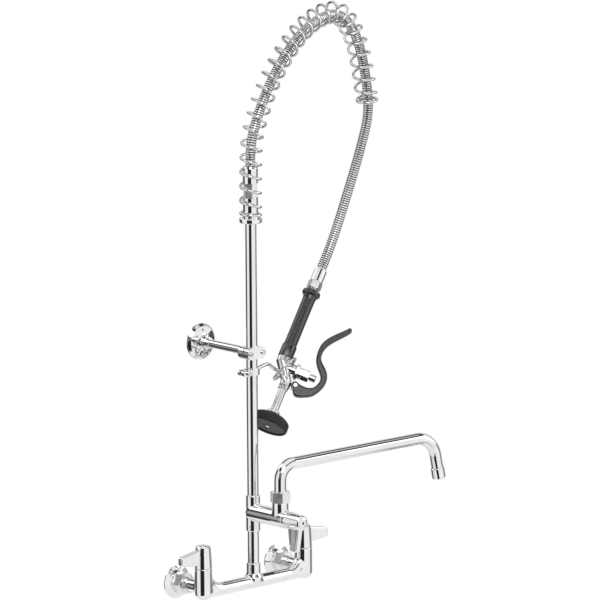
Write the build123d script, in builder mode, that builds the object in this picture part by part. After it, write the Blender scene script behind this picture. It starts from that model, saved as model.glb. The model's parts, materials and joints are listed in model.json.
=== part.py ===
from build123d import *
from math import cos, pi, radians, sin, sqrt, tan
import os

os.makedirs("parts", exist_ok=True)

# A wall-mounted pre-rinse faucet. The origin lies on the wall, midway between the two inlets.
# +X runs from the hot inlet to the cold one, +Y goes into the wall and +Z is up.

# Clearances
fit = 0.15  # round a piece that is screwed or pressed in
running = 0.08  # round a turning shaft
gap = 0.3  # between pieces that face each other and move
thread = 10.0  # depth that a pipe is screwed in

# Body
inlet_spacing = 203.2
body_reach = 60.0  # wall to the valves' axes
body_drop = 6.5  # inlets' axis down to the cross tube's axis
cross_r = 9.9
cross_bend = 36.0
waterway_r = 6.0
boss_r = 13.3
boss_rise = 37.0  # cross tube's axis up to a boss's top
boss_depth = 11.5
boss_round = 11.0
socket_r = 10.5
socket_rise = 29.6
socket_flare = 3.5
neck_r = 10.5

# Inlets, from the wall outwards
flange_r = 25.0
flange_hub_r = 16.5
flange_height = 9.0
flange_edge = 1.6
flange_lip = 2.5
nut_across = 29.0
nut_hex = 15.0
nut_skirt = 9.0
nut_skirt_r = 12.2
nut_bevel = 2.0
hex_bevel = 1.5  # smaller hexagons
tail_r = 8.5
tail_bore_r = 6.5
tail_head_r = 10.2
tail_head = 3.0
tail_length = 23.5
washer_t = 2.0

# Valves: the same in both bosses and in the add-on arm
cartridge_r = 8.7
cartridge_depth = 23.5
cartridge_head_r = 8.0
cartridge_head = 5.0
chamber_r = 6.0
guide_length = 15.0
port_r = 3.5
port_depth = 17.0
stem_r = 4.0
stem_collar_r = 5.4
stem_collar = 3.0
stem_square = 5.6
stem_rise = 23.5
hub_r = 13.0
hub_top_r = 11.3
hub_height = 34.0
hub_round = 1.5
hub_floor = 9.0
hub_web = 15.0
blade_reach = 46.5
blade_t = 9.5
blade_root = (4.0, 31.0)
blade_tip = (9.5, 23.0)
blade_corner = 4.5
blade_edge = 1.8
screw_r = 2.0
screw_length = 12.0
screw_head_r = 4.0
screw_head = 3.0
index_r = 8.0
index_seat = 4.0
index_dome = 0.8

# Lower nipple, tee and riser
pipe_r = 8.55
pipe_bore_r = 6.3
nipple_shown = 47.9
tee_r = 10.7
tee_height = 55.5
tee_chamfer = 1.2
arm_rise = 29.0  # tee's foot up to the arm's axis
arm_r = 13.3
arm_reach = 75.0
arm_back = 6.0
arm_round = 5.0
spout_reach_y = 60.0  # riser's axis out to the spout's axis
upstand_r = 12.25
upstand_rise = 24.5
upstand_thread_r = 11.3
upstand_thread = 9.0
riser_shown = 414.0

# Spout
spout_r = 9.0
spout_wall = 1.5
spout_seat = 13.0  # arm's axis up to the foot of the spout's shank
spout_rise = 80.5  # arm's axis up to the run's axis
spout_reach = 305.0
spout_heading = -4.3
spout_slope = 0.6
spout_lean = 11.6
spout_drop = 59.0
spout_bend = 24.0
spout_end_bend = 36.0
spout_collar_r = 10.8
spout_collar = 3.4
spout_nut_across = 27.0
spout_nut_height = 16.6
spout_nut_lip = 3.4
spout_nut_bevel = 2.2
tip_r = 10.4
tip_length = 17.0
tip_lap = 13.0
tip_screen = 2.0
tip_hole_r = 1.6
tip_hole_ring = 4.5
tip_edge = 0.8
ring_wire = 0.95
ring_rises = (4.0, 10.0)  # shank's foot up to its sealing rings

# Wall bracket and finger hook
bracket_above_hook = 28.9
bracket_wide = 36.0
bracket_tall = 18.0
bracket_round = 8.0
bracket_front = 11.5
bracket_back = 11.5
bracket_split = 0.75
bracket_screw_x = 12.2
bracket_screw_r = 2.0
bracket_head_r = 3.4
bracket_head = 2.2
bracket_stud_r = 3.9
bracket_stud = 14.0
bracket_nut_across = 15.0
bracket_nut_t = 5.0
bracket_nut_bevel = 1.2
bracket_tube_r = 6.2
bracket_depth = 114.0  # riser's axis to the bracket's wall face
bracket_flange_r = 27.5
bracket_flange_t = 6.5
bracket_hub_r = 9.5
bracket_hub = 12.0
bracket_ring_r = 7.8
bracket_ring = 4.0
bracket_hole_r = 2.4
bracket_hole_ring = 17.5
bracket_lap = 14.0
set_screw_r = 2.0
set_screw_proud = 0.6
hook_r = 2.75
hook_bar_rise = 3.6  # band's middle up to the bar's first corner
hook_band_r = 12.0
hook_band = 9.0
hook_ear = 8.0
hook_ear_x = 15.0
hook_bolt_r = 2.0
hook_split = 1.5
hook_head_r = 3.9
hook_head = 3.2
hook_nut_across = 7.6
hook_nut_bevel = 0.6

# Riser's top: spring nut, hose fittings
spring_nut_r = 17.3
spring_nut_t = 7.4
connector_r = 11.5
connector_length = 30.6
coupling_across = 19.0
coupling_length = 22.0
sleeve_length = 25.5
hose_bore_r = 5.0

# Hose and spring, from the hose's foot: across, towards the wall, up
hose_r = 7.6
hose_groove = 0.9
hose_ribs = 140
rib_profile = [(0, hose_groove), (0.25, 0), (0.6, 0), (0.85, hose_groove)]  # share of pitch, depth
corner_share = 0.45  # of the shorter run beside a corner, for its arc
hose_end = 15.2
hose_route = [
    (0, 0, 0),
    (0, 0, 30),
    (14, 2, 65.5),
    (40, 5.6, 108.5),
    (78, 11, 150.5),
    (124, 17.4, 184.5),
    (170, 23.9, 200.5),
    (213, 29.9, 199.5),
    (249.5, 35.2, 165.5),
    (270.5, 38.6, 108.5),
    (283, 41.3, 40.5),
    (268.5, 46.5, -16.5),
    (247, 50, -75.5),
    (223.5, 52, -132.5),
    (204.9, 51.7, -167.9),
    (186.6, 48, -191.3),
]
spring_wire_r = 2.1
spring_r = 15.25
spring_turns = 28
spring_heading = 8.0
spring_closed = 4.8
spring_route = [
    (0, 31.5),
    (14, 66.5),
    (38, 110),
    (75, 153.5),
    (121.5, 188),
    (168.5, 204.5),
    (213, 203.5),
    (248.5, 166),
    (268.5, 108.5),
    (278, 55.5),
]

# Hand spray, measured down its axis from the hose's end
spray_heading = -34.7
ferrule_r = 9.8
ferrule_length = 21.0
hose_nut_across = 19.0
hose_nut_t = 12.0
grip_tube_r = 6.0
grip_tube_bore = 4.5
grip_tube_lap = 8.0
collar_start = 36.5
collar_length = 8.5
collar_r = 14.0
grip_length = 84.0
grip_r = 9.75
grip_end_r = 10.6
grip_sleeve_length = 22.0
grip_sleeve_across = 23.4
valve_neck_r = 10.8
valve_neck = 9.0
outlet_shift = 15.0  # handle's axis across to the outlet's axis
outlet_r = 8.1
outlet_start = 186.0
outlet_end = 199.0
outlet_collar_r = 7.85
bonnet_t = 165.0
boss_out = 22.0
spray_boss_r = 9.2
valve_chamber_r = 6.2
bonnet_across = 22.5
bonnet_flange = 5.0
bonnet_barrel_across = 16.0
bonnet_barrel = 17.0
plunger_stem_r = 2.5
button_r = 5.5
button_length = 9.9
button_edge = 1.2
plunger_disc_r = 5.4
plunger_disc = 2.5
plunger_start = 3.0  # handle's axis out to the plunger's disc
plunger_well = 10.0
coil_wire_r = 0.5
coil_play = 0.4
lug_t = 4.4
pin_down = 186.9
pin_out = 30.0
pin_r = 2.0
pin_head_r = 2.9
pin_head = 1.8
lever_t = 10.0
lever_hub_r = 6.6
lever_edge = 2.0
fork_deep = 30.0
lug_r = 6.0
barrel_r = 6.0
barrel_length = 37.0
barrel_flange_r = 9.5
barrel_flange = 4.0
barrel_spigot = 9.0
barrel_bore_r = 4.5
bumper_r = 30.0
bumper_depth = 23.0
bumper_rim = 13.0
bumper_back_r = 12.0
face_r = 26.0
face_t = 3.0
face_recess = 2.0
spray_hole_r = 0.9
spray_hole_ring = 15.0
spray_holes = 12
face_screw_r = 3.0
face_screw_head = 1.2
ring_r = 22.0
ring_wire_r = 2.0
ring_down = 170.1
ring_out = 6.05
ring_shift = 7.5
ring_tilt = 24.7

# Outer and inner edges of the squeeze lever, as (down the spray's axis, out from it)
lever_outer = [
    (201.7, 37),
    (198.2, 47.9),
    (191.5, 58.9),
    (179.3, 67.2),
    (163.9, 71.1),
    (146.7, 65.1),
    (132.8, 51.7),
    (117.4, 50.2),
    (99.4, 59.0),
    (74.6, 77.9),
]
lever_inner = [
    (69.5, 72.8),
    (86.8, 57.5),
    (100.8, 47),
    (112, 42.7),
    (122.5, 42.2),
    (133, 43.7),
    (148.8, 52.9),
    (160.4, 61),
    (169.7, 60.5),
    (178.2, 56.3),
    (182.8, 42.6),
]
lever_nose = (70.1, 76.0)

# Finger hook's bar, from the hose's end: across, towards the wall, up
hook_route = [
    (-156.8, -41.0, -116.5),
    (-145.0, -38.2, -116.1),
    (-134.1, -35.6, -123.8),
    (-115.4, -31.1, -134.2),
    (-113.9, -39.0, -139.3),
    (-113.6, -44.8, -147.4),
    (-117.4, -45.4, -151.9),
]


def section(seat, *points):
    """A closed half profile of (radius, height) points beside a seat's axis."""
    with BuildSketch(Plane(origin=seat.origin, x_dir=seat.x_dir, z_dir=-seat.y_dir)) as half:
        with BuildLine():
            Polyline(*points, close=True)
        make_face()
    return half.sketch


def turn(seat, *points, mode=Mode.ADD):
    """Turns a profile of (radius, height) points round a seat's axis."""
    revolve(section(seat, *points), axis=Axis(seat.origin, seat.z_dir), mode=mode)


def rod(seat, radius, start, end, mode=Mode.ADD):
    """A round bar, or hole, along a seat's axis."""
    turn(seat, (0, start), (radius, start), (radius, end), (0, end), mode=mode)


def pipe(seat, outer, inner, start, end):
    """A straight tube along a seat's axis."""
    turn(seat, (inner, start), (outer, start), (outer, end), (inner, end))


def raised(seat, height):
    """The same seat, further along its axis."""
    return Plane(origin=seat.origin + seat.z_dir * height, x_dir=seat.x_dir, z_dir=seat.z_dir)


def hexagon(seat, across, start, end, bevel):
    """A bevelled hexagonal bar along a seat's axis."""
    with BuildSketch(raised(seat, start)) as outline:
        RegularPolygon(across / 2, 6, major_radius=False)
    extrude(outline.sketch, amount=end - start)
    corner = across / sqrt(3)
    slope = bevel * tan(radians(30))
    turn(
        seat,
        (0, start),
        (corner - bevel, start),
        (corner, start + slope),
        (corner, end - slope),
        (corner - bevel, end),
        (0, end),
        mode=Mode.INTERSECT,
    )


def arc_radii(points):
    """The largest arcs that the runs beside each corner allow."""
    corners = [Vector(*point) for point in points]
    radii = []
    for before, here, after in zip(corners, corners[1:], corners[2:]):
        turned = radians((here - before).get_angle(after - here))
        shorter = min((here - before).length, (after - here).length)
        radii.append(corner_share * shorter / tan(turned / 2))
    return radii


# Heights and seats that the dimensions give
valve_x = inlet_spacing / 2
body_z = -body_drop
boss_top = body_z + boss_rise
socket_top = body_z + socket_rise
tee_foot = socket_top + nipple_shown
tee_top = tee_foot + tee_height
arm_z = tee_foot + arm_rise
riser_top = tee_top + riser_shown
connector_foot = riser_top + spring_nut_t
coupling_foot = connector_foot + connector_length
sleeve_foot = coupling_foot + coupling_length
hose_foot = sleeve_foot + sleeve_length

riser_seat = Plane(origin=(0, -body_reach, 0), x_dir=(1, 0, 0), z_dir=(0, 0, 1))
inlet_seats = [
    Plane(origin=(x, 0, 0), x_dir=(1, 0, 0), z_dir=(0, -1, 0)) for x in (-valve_x, valve_x)
]
valve_seats = {
    "hot": Plane(origin=(-valve_x, -body_reach, boss_top), x_dir=(-1, 0, 0), z_dir=(0, 0, 1)),
    "cold": Plane(origin=(valve_x, -body_reach, boss_top), x_dir=(1, 0, 0), z_dir=(0, 0, 1)),
    "add_on": Plane(
        origin=(0, -body_reach - arm_reach, arm_z), x_dir=(0, 0, -1), z_dir=(0, -1, 0)
    ),
}
hose_start = Vector(0, -body_reach, hose_foot)
hose_points = [hose_start + Vector(*point) for point in hose_route]
hose_tip = hose_points[-1]
hook_points = [hose_tip + Vector(*point) for point in hook_route]
hook_z = hook_points[0].Z - hook_bar_rise
bracket_z = hook_z + bracket_above_hook
spray_seat = Plane(
    origin=hose_tip,
    x_dir=(cos(radians(spray_heading)), sin(radians(spray_heading)), 0),
    z_dir=hose_tip - hose_points[-2],
)

# Cast body: two valve bosses, cross tube, inlet necks and the riser's socket
union_out = tail_length + washer_t
boss_seats = [valve_seats["hot"], valve_seats["cold"]]
with BuildPart() as faucet_body:
    for seat in boss_seats:
        rod(seat, boss_r, -boss_rise - boss_depth, 0)
    fillet(faucet_body.edges().group_by(Axis.Z)[0], boss_round)
    with BuildLine() as body_line:
        FilletPolyline(
            (-valve_x, -body_reach, boss_top),
            (-valve_x, -body_reach, body_z),
            (valve_x, -body_reach, body_z),
            (valve_x, -body_reach, boss_top),
            radius=cross_bend,
        )
    with BuildSketch(valve_seats["hot"]) as cross_round:
        Circle(cross_r)
    sweep(cross_round.sketch, path=body_line.line)
    turn(
        riser_seat,
        (0, body_z),
        (socket_r + socket_flare, body_z),
        (socket_r + socket_flare, body_z + cross_r - 2),
        (socket_r, body_z + cross_r + socket_flare),
        (socket_r, socket_top),
        (0, socket_top),
    )
    for seat in inlet_seats:
        rod(seat, neck_r, union_out, body_reach)
    for seat in boss_seats:
        rod(seat, cartridge_r + fit, -boss_rise - cross_r + 3, 0, mode=Mode.SUBTRACT)
    for seat in inlet_seats:
        rod(seat, tail_bore_r, union_out, body_reach, mode=Mode.SUBTRACT)
    with BuildSketch(valve_seats["hot"]) as waterway:
        Circle(waterway_r)
    sweep(waterway.sketch, path=body_line.line, mode=Mode.SUBTRACT)
    rod(riser_seat, waterway_r, body_z, socket_top, mode=Mode.SUBTRACT)
    rod(riser_seat, pipe_r + fit, socket_top - thread, socket_top, mode=Mode.SUBTRACT)
faucet_body.part.label = "faucet_body"
export_step(faucet_body.part, "parts/faucet_body.step")

# Dished cover flanges against the wall
with BuildPart() as wall_flanges:
    for seat in inlet_seats:
        with BuildSketch(
            Plane(origin=seat.origin, x_dir=seat.x_dir, z_dir=-seat.y_dir)
        ) as half_flange:
            with BuildLine():
                rim = Polyline((tail_r + fit, 0), (flange_r, 0), (flange_r, flange_edge))
                dish = RadiusArc(rim @ 1, (flange_hub_r, flange_height - flange_lip), 2 * flange_hub_r)
                Polyline(
                    dish @ 1,
                    (flange_hub_r, flange_height),
                    (tail_r + fit, flange_height),
                    rim @ 0,
                )
            make_face()
        revolve(half_flange.sketch, axis=Axis(seat.origin, seat.z_dir))
wall_flanges.part.label = "wall_flanges"
export_step(wall_flanges.part, "parts/wall_flanges.step")

# Threaded tails that come out of the wall, with a head for the coupling nut
with BuildPart() as inlet_tails:
    for seat in inlet_seats:
        pipe(seat, tail_r, tail_bore_r, 0, tail_length)
        pipe(seat, tail_head_r, tail_bore_r, tail_length - tail_head, tail_length)
inlet_tails.part.label = "inlet_tails"
export_step(inlet_tails.part, "parts/inlet_tails.step")

# Washers between the tails and the body's necks
with BuildPart() as sealing_washers:
    for seat in inlet_seats:
        pipe(seat, tail_head_r, tail_bore_r, tail_length, union_out)
sealing_washers.part.label = "sealing_washers"
export_step(sealing_washers.part, "parts/sealing_washers.step")

# Coupling nuts that draw the tails against the necks
nut_end = flange_height + nut_hex
with BuildPart() as coupling_nuts:
    hexagon(inlet_seats[0], nut_across, flange_height, nut_end, nut_bevel)
    pipe(inlet_seats[0], nut_skirt_r, neck_r + fit, nut_end - 3, nut_end + nut_skirt)
    rod(
        inlet_seats[0],
        neck_r + fit,
        tail_length - tail_head - fit,
        nut_end + nut_skirt,
        mode=Mode.SUBTRACT,
    )
    rod(inlet_seats[0], tail_r + fit, 0, tail_length, mode=Mode.SUBTRACT)
    mirror(about=Plane.YZ)
coupling_nuts.part.label = "coupling_nuts"
export_step(coupling_nuts.part, "parts/coupling_nuts.step")

# Each valve's cartridge, stem, lever handle, screw and index cap
stem_foot = cartridge_head - guide_length
hub_ceiling = hub_floor + hub_web
for place, seat in valve_seats.items():
    with BuildPart() as cartridge:
        turn(
            seat,
            (stem_r + running, stem_foot),
            (chamber_r, stem_foot),
            (chamber_r, -cartridge_depth),
            (cartridge_r, -cartridge_depth),
            (cartridge_r, 0),
            (cartridge_head_r, 0),
            (cartridge_head_r, cartridge_head),
            (stem_r + running, cartridge_head),
        )
        port_seat = Plane(
            origin=seat.origin - seat.z_dir * port_depth, x_dir=seat.z_dir, z_dir=-seat.x_dir
        )
        rod(port_seat, port_r, 0, 2 * cartridge_r, mode=Mode.SUBTRACT)
    cartridge.part.label = place + "_cartridge"
    export_step(cartridge.part, "parts/" + place + "_cartridge.step")

    with BuildPart() as stem:
        rod(seat, stem_r, stem_foot - stem_collar, hub_floor)
        rod(seat, stem_collar_r, stem_foot - stem_collar, stem_foot - gap)
        with BuildSketch(raised(seat, hub_floor)) as square:
            Rectangle(stem_square, stem_square)
        extrude(square.sketch, amount=stem_rise - hub_floor)
        rod(seat, screw_r + fit, stem_rise - screw_length, stem_rise, mode=Mode.SUBTRACT)
    stem.part.label = place + "_stem"
    export_step(stem.part, "parts/" + place + "_stem.step")

    with BuildPart() as handle:
        with BuildSketch(
            Plane(origin=seat.origin, x_dir=seat.x_dir, z_dir=-seat.y_dir)
        ) as blade:
            with BuildLine():
                Polyline(
                    (0, blade_root[0]),
                    (blade_reach, blade_tip[0]),
                    (blade_reach, blade_tip[1]),
                    (0, blade_root[1]),
                    close=True,
                )
            make_face()
            fillet(blade.vertices().group_by(Axis.X)[-1], blade_corner)
        extrude(blade.sketch, amount=blade_t / 2, both=True)
        fillet(handle.edges(), blade_edge)
        turn(
            seat,
            (0, gap),
            (hub_r, gap),
            (hub_r, blade_root[0]),
            (hub_top_r, hub_height - hub_round),
            (hub_top_r - hub_round, hub_height),
            (0, hub_height),
        )
        rod(seat, cartridge_head_r + gap, 0, hub_floor, mode=Mode.SUBTRACT)
        with BuildSketch(raised(seat, hub_floor - 1)) as broach:
            Rectangle(stem_square + 2 * fit, stem_square + 2 * fit)
        extrude(broach.sketch, amount=hub_web + 1, mode=Mode.SUBTRACT)
        rod(seat, screw_head_r + fit, hub_ceiling, hub_height, mode=Mode.SUBTRACT)
        rod(seat, index_r + fit, hub_height - index_seat, hub_height, mode=Mode.SUBTRACT)
    handle.part.label = place + "_handle"
    export_step(handle.part, "parts/" + place + "_handle.step")

    with BuildPart() as screw:
        rod(seat, screw_r, hub_ceiling - screw_length + 1, hub_ceiling)
        rod(seat, screw_head_r, hub_ceiling, hub_ceiling + screw_head)
    screw.part.label = place + "_screw"
    export_step(screw.part, "parts/" + place + "_screw.step")

    with BuildPart() as index:
        turn(
            seat,
            (0, hub_height - index_seat),
            (index_r, hub_height - index_seat),
            (index_r, hub_height),
            (index_r - 2, hub_height + index_dome),
            (2, hub_height + index_dome),
            (2, hub_height + index_dome / 2),
            (0, hub_height + index_dome / 2),
        )
    index.part.label = place + "_index"
    export_step(index.part, "parts/" + place + "_index.step")

# Nipple between the body and the tee
with BuildPart() as lower_nipple:
    pipe(riser_seat, pipe_r, pipe_bore_r, socket_top - thread, tee_foot + thread)
lower_nipple.part.label = "lower_nipple"
export_step(lower_nipple.part, "parts/lower_nipple.step")

# Add-on tee: upright body, arm with a valve at its end, and the spout's upstand
arm_seat = Plane(origin=(0, -body_reach, arm_z), x_dir=(1, 0, 0), z_dir=(0, -1, 0))
spout_seat_plane = Plane(
    origin=(0, -body_reach - spout_reach_y, arm_z), x_dir=(1, 0, 0), z_dir=(0, 0, 1)
)
with BuildPart() as add_on_tee:
    turn(
        riser_seat,
        (0, tee_foot),
        (tee_r - tee_chamfer, tee_foot),
        (tee_r, tee_foot + tee_chamfer),
        (tee_r, tee_top - tee_chamfer),
        (tee_r - tee_chamfer, tee_top),
        (0, tee_top),
    )
    turn(
        arm_seat,
        (0, -arm_back),
        (arm_r - arm_round, -arm_back),
        (arm_r - arm_round / 3, arm_round / 3 - arm_back),
        (arm_r, arm_round - arm_back),
        (arm_r, arm_reach),
        (0, arm_reach),
    )
    turn(
        spout_seat_plane,
        (0, 0),
        (upstand_r, 0),
        (upstand_r, upstand_rise),
        (upstand_thread_r, upstand_rise),
        (upstand_thread_r, upstand_rise + upstand_thread),
        (0, upstand_rise + upstand_thread),
    )
    rod(riser_seat, pipe_bore_r, tee_foot, tee_top, mode=Mode.SUBTRACT)
    rod(riser_seat, pipe_r + fit, tee_foot, tee_foot + thread, mode=Mode.SUBTRACT)
    rod(riser_seat, pipe_r + fit, tee_top - thread, tee_top, mode=Mode.SUBTRACT)
    rod(arm_seat, port_r, 0, arm_reach, mode=Mode.SUBTRACT)
    rod(
        arm_seat,
        cartridge_r + fit,
        arm_reach - cartridge_depth - 4,
        arm_reach,
        mode=Mode.SUBTRACT,
    )
    rod(spout_seat_plane, port_r, 0, spout_seat, mode=Mode.SUBTRACT)
    rod(
        spout_seat_plane,
        spout_r + running,
        spout_seat - 1,
        upstand_rise + upstand_thread,
        mode=Mode.SUBTRACT,
    )
add_on_tee.part.label = "add_on_tee"
export_step(add_on_tee.part, "parts/add_on_tee.step")

# Nut that holds the spout's collar on the upstand
collar_foot = upstand_rise + upstand_thread + gap
spout_nut_top = upstand_rise + spout_nut_height
with BuildPart() as spout_nut:
    hexagon(spout_seat_plane, spout_nut_across, upstand_rise, spout_nut_top, spout_nut_bevel)
    rod(spout_seat_plane, spout_r + running, upstand_rise, spout_nut_top, mode=Mode.SUBTRACT)
    rod(
        spout_seat_plane,
        upstand_thread_r + fit,
        upstand_rise,
        spout_nut_top - spout_nut_lip,
        mode=Mode.SUBTRACT,
    )
spout_nut.part.label = "spout_nut"
export_step(spout_nut.part, "parts/spout_nut.step")

# Swinging spout: shank, bend, long run and outlet leg
heading = radians(spout_heading)
leg_out = spout_drop * tan(radians(spout_lean))
run_out = spout_reach - leg_out
run_rise = run_out * tan(radians(spout_slope))
pivot = spout_seat_plane.origin
bend_start = pivot + Vector(0, 0, spout_rise)
bend_end = bend_start + Vector(run_out * cos(heading), run_out * sin(heading), run_rise)
outlet = bend_end + Vector(
    leg_out * cos(heading), leg_out * sin(heading), -spout_drop - run_rise
)
with BuildPart() as spout_tube:
    with BuildLine() as spout_line:
        FilletPolyline(
            pivot + Vector(0, 0, spout_seat),
            bend_start,
            bend_end,
            outlet,
            radius=[spout_bend, spout_end_bend],
        )
    with BuildSketch(raised(spout_seat_plane, spout_seat)) as spout_round:
        Circle(spout_r)
        Circle(spout_r - spout_wall, mode=Mode.SUBTRACT)
    sweep(spout_round.sketch, path=spout_line.line)
    pipe(
        spout_seat_plane,
        spout_collar_r,
        spout_r - spout_wall / 2,
        collar_foot,
        collar_foot + spout_collar,
    )
    for ring_rise in ring_rises:
        ring_z = spout_seat + ring_rise
        turn(
            spout_seat_plane,
            (spout_r - ring_wire, ring_z - ring_wire),
            (spout_r + 1, ring_z - ring_wire),
            (spout_r + 1, ring_z + ring_wire),
            (spout_r - ring_wire, ring_z + ring_wire),
            mode=Mode.SUBTRACT,
        )
spout_tube.part.label = "spout_tube"
export_step(spout_tube.part, "parts/spout_tube.step")

# Sealing rings in the shank's grooves
with BuildPart() as spout_o_rings:
    for ring_rise in ring_rises:
        ring_z = spout_seat + ring_rise
        pipe(
            spout_seat_plane,
            spout_r,
            spout_r - ring_wire + running,
            ring_z - ring_wire + running,
            ring_z + ring_wire - running,
        )
spout_o_rings.part.label = "spout_o_rings"
export_step(spout_o_rings.part, "parts/spout_o_rings.step")

# Outlet tip with its stream plate
leg = (outlet - bend_end).normalized()
tip_seat = Plane(origin=outlet, x_dir=(0, 1, 0), z_dir=leg)
tip_end = tip_length - tip_lap
with BuildPart() as spout_tip:
    turn(
        tip_seat,
        (spout_r + fit, -tip_lap),
        (tip_r - tip_edge, -tip_lap),
        (tip_r, tip_edge - tip_lap),
        (tip_r, tip_end - 1),
        (tip_r - 1, tip_end),
        (spout_r - spout_wall, tip_end),
        (spout_r - spout_wall, tip_screen),
        (0, tip_screen),
        (0, fit),
        (spout_r + fit, fit),
    )
    with BuildSketch(tip_seat) as stream_holes:
        Circle(tip_hole_r)
        with PolarLocations(tip_hole_ring, 6):
            Circle(tip_hole_r)
    extrude(stream_holes.sketch, amount=tip_screen + 1, mode=Mode.SUBTRACT)
spout_tip.part.label = "spout_tip"
export_step(spout_tip.part, "parts/spout_tip.step")

# Riser pipe
with BuildPart() as riser_pipe:
    pipe(riser_seat, pipe_r, pipe_bore_r, tee_top - thread, connector_foot + thread)
riser_pipe.part.label = "riser_pipe"
export_step(riser_pipe.part, "parts/riser_pipe.step")

# Wall bracket: a split clamp on the riser, a stand-off tube and its wall flange
clamp_seat = Plane(
    origin=(0, -body_reach, bracket_z), x_dir=(1, 0, 0), z_dir=(0, 1, 0)
)
bore_low = bracket_z - bracket_tall
bore_high = bracket_z + bracket_tall
with BuildPart() as bracket_clamp_front:
    with BuildSketch(raised(clamp_seat, -bracket_front)):
        RectangleRounded(bracket_wide, bracket_tall, bracket_round)
    extrude(amount=bracket_front - bracket_split)
    rod(riser_seat, pipe_r + fit, bore_low, bore_high, mode=Mode.SUBTRACT)
    for x in (-bracket_screw_x, bracket_screw_x):
        screw_seat = Plane(
            origin=clamp_seat.origin + Vector(x, 0, 0), x_dir=(1, 0, 0), z_dir=(0, 1, 0)
        )
        rod(screw_seat, bracket_screw_r + fit, -bracket_front, 0, mode=Mode.SUBTRACT)
bracket_clamp_front.part.label = "bracket_clamp_front"
export_step(bracket_clamp_front.part, "parts/bracket_clamp_front.step")

with BuildPart() as bracket_clamp_back:
    with BuildSketch(raised(clamp_seat, bracket_split)):
        RectangleRounded(bracket_wide, bracket_tall, bracket_round)
    extrude(amount=bracket_back - bracket_split)
    rod(clamp_seat, bracket_stud_r, bracket_back - 1, bracket_back + bracket_stud)
    rod(riser_seat, pipe_r + fit, bore_low, bore_high, mode=Mode.SUBTRACT)
    for x in (-bracket_screw_x, bracket_screw_x):
        screw_seat = Plane(
            origin=clamp_seat.origin + Vector(x, 0, 0), x_dir=(1, 0, 0), z_dir=(0, 1, 0)
        )
        rod(screw_seat, bracket_screw_r + fit, 0, bracket_back, mode=Mode.SUBTRACT)
bracket_clamp_back.part.label = "bracket_clamp_back"
export_step(bracket_clamp_back.part, "parts/bracket_clamp_back.step")

with BuildPart() as bracket_clamp_screws:
    for x in (-bracket_screw_x, bracket_screw_x):
        screw_seat = Plane(
            origin=clamp_seat.origin + Vector(x, 0, 0), x_dir=(1, 0, 0), z_dir=(0, 1, 0)
        )
        rod(screw_seat, bracket_screw_r, -bracket_front, bracket_back)
        rod(screw_seat, bracket_head_r, -bracket_front - bracket_head, -bracket_front)
        rod(
            raised(screw_seat, -bracket_front - bracket_head),
            bracket_screw_r,
            0,
            bracket_head / 2,
            mode=Mode.SUBTRACT,
        )
bracket_clamp_screws.part.label = "bracket_clamp_screws"
export_step(bracket_clamp_screws.part, "parts/bracket_clamp_screws.step")

bracket_nut_end = bracket_back + bracket_nut_t
with BuildPart() as bracket_nut:
    hexagon(clamp_seat, bracket_nut_across, bracket_back, bracket_nut_end, bracket_nut_bevel)
    rod(clamp_seat, bracket_stud_r + fit, bracket_back, bracket_nut_end, mode=Mode.SUBTRACT)
bracket_nut.part.label = "bracket_nut"
export_step(bracket_nut.part, "parts/bracket_nut.step")

flange_face = bracket_depth - bracket_flange_t
with BuildPart() as bracket_tube:
    pipe(
        clamp_seat,
        bracket_tube_r,
        bracket_stud_r + fit,
        bracket_nut_end,
        flange_face - bracket_hub + bracket_lap,
    )
bracket_tube.part.label = "bracket_tube"
export_step(bracket_tube.part, "parts/bracket_tube.step")

hub_foot = flange_face - bracket_hub
with BuildPart() as bracket_flange:
    turn(
        clamp_seat,
        (0, bracket_depth),
        (bracket_flange_r, bracket_depth),
        (bracket_flange_r, bracket_depth - flange_lip),
        (bracket_flange_r - 4, flange_face + 0.5),
        (bracket_hub_r + 4, flange_face),
        (bracket_hub_r + 1, flange_face - 1),
        (bracket_hub_r, flange_face - 5),
        (bracket_hub_r, hub_foot + 1),
        (bracket_hub_r - 1, hub_foot),
        (bracket_ring_r, hub_foot),
        (bracket_ring_r, hub_foot - bracket_ring),
        (0, hub_foot - bracket_ring),
    )
    rod(
        clamp_seat,
        bracket_tube_r + fit,
        hub_foot - bracket_ring,
        hub_foot + bracket_lap,
        mode=Mode.SUBTRACT,
    )
    with BuildSketch(raised(clamp_seat, flange_face - 2)) as flange_holes:
        with PolarLocations(bracket_hole_ring, 4, start_angle=90):
            Circle(bracket_hole_r)
    extrude(flange_holes.sketch, amount=bracket_flange_t + 4, mode=Mode.SUBTRACT)
    set_seat = Plane(
        origin=clamp_seat.origin + Vector(0, hub_foot + 4, 0), x_dir=(0, 1, 0), z_dir=(-1, 0, 0)
    )
    rod(set_seat, set_screw_r + fit, 0, bracket_hub_r + 1, mode=Mode.SUBTRACT)
bracket_flange.part.label = "bracket_flange"
export_step(bracket_flange.part, "parts/bracket_flange.step")

with BuildPart() as bracket_set_screw:
    rod(set_seat, set_screw_r, bracket_tube_r + fit, bracket_hub_r + set_screw_proud)
    rod(set_seat, set_screw_r / 2, bracket_hub_r - 1, bracket_hub_r + 1, mode=Mode.SUBTRACT)
bracket_set_screw.part.label = "bracket_set_screw"
export_step(bracket_set_screw.part, "parts/bracket_set_screw.step")

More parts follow.
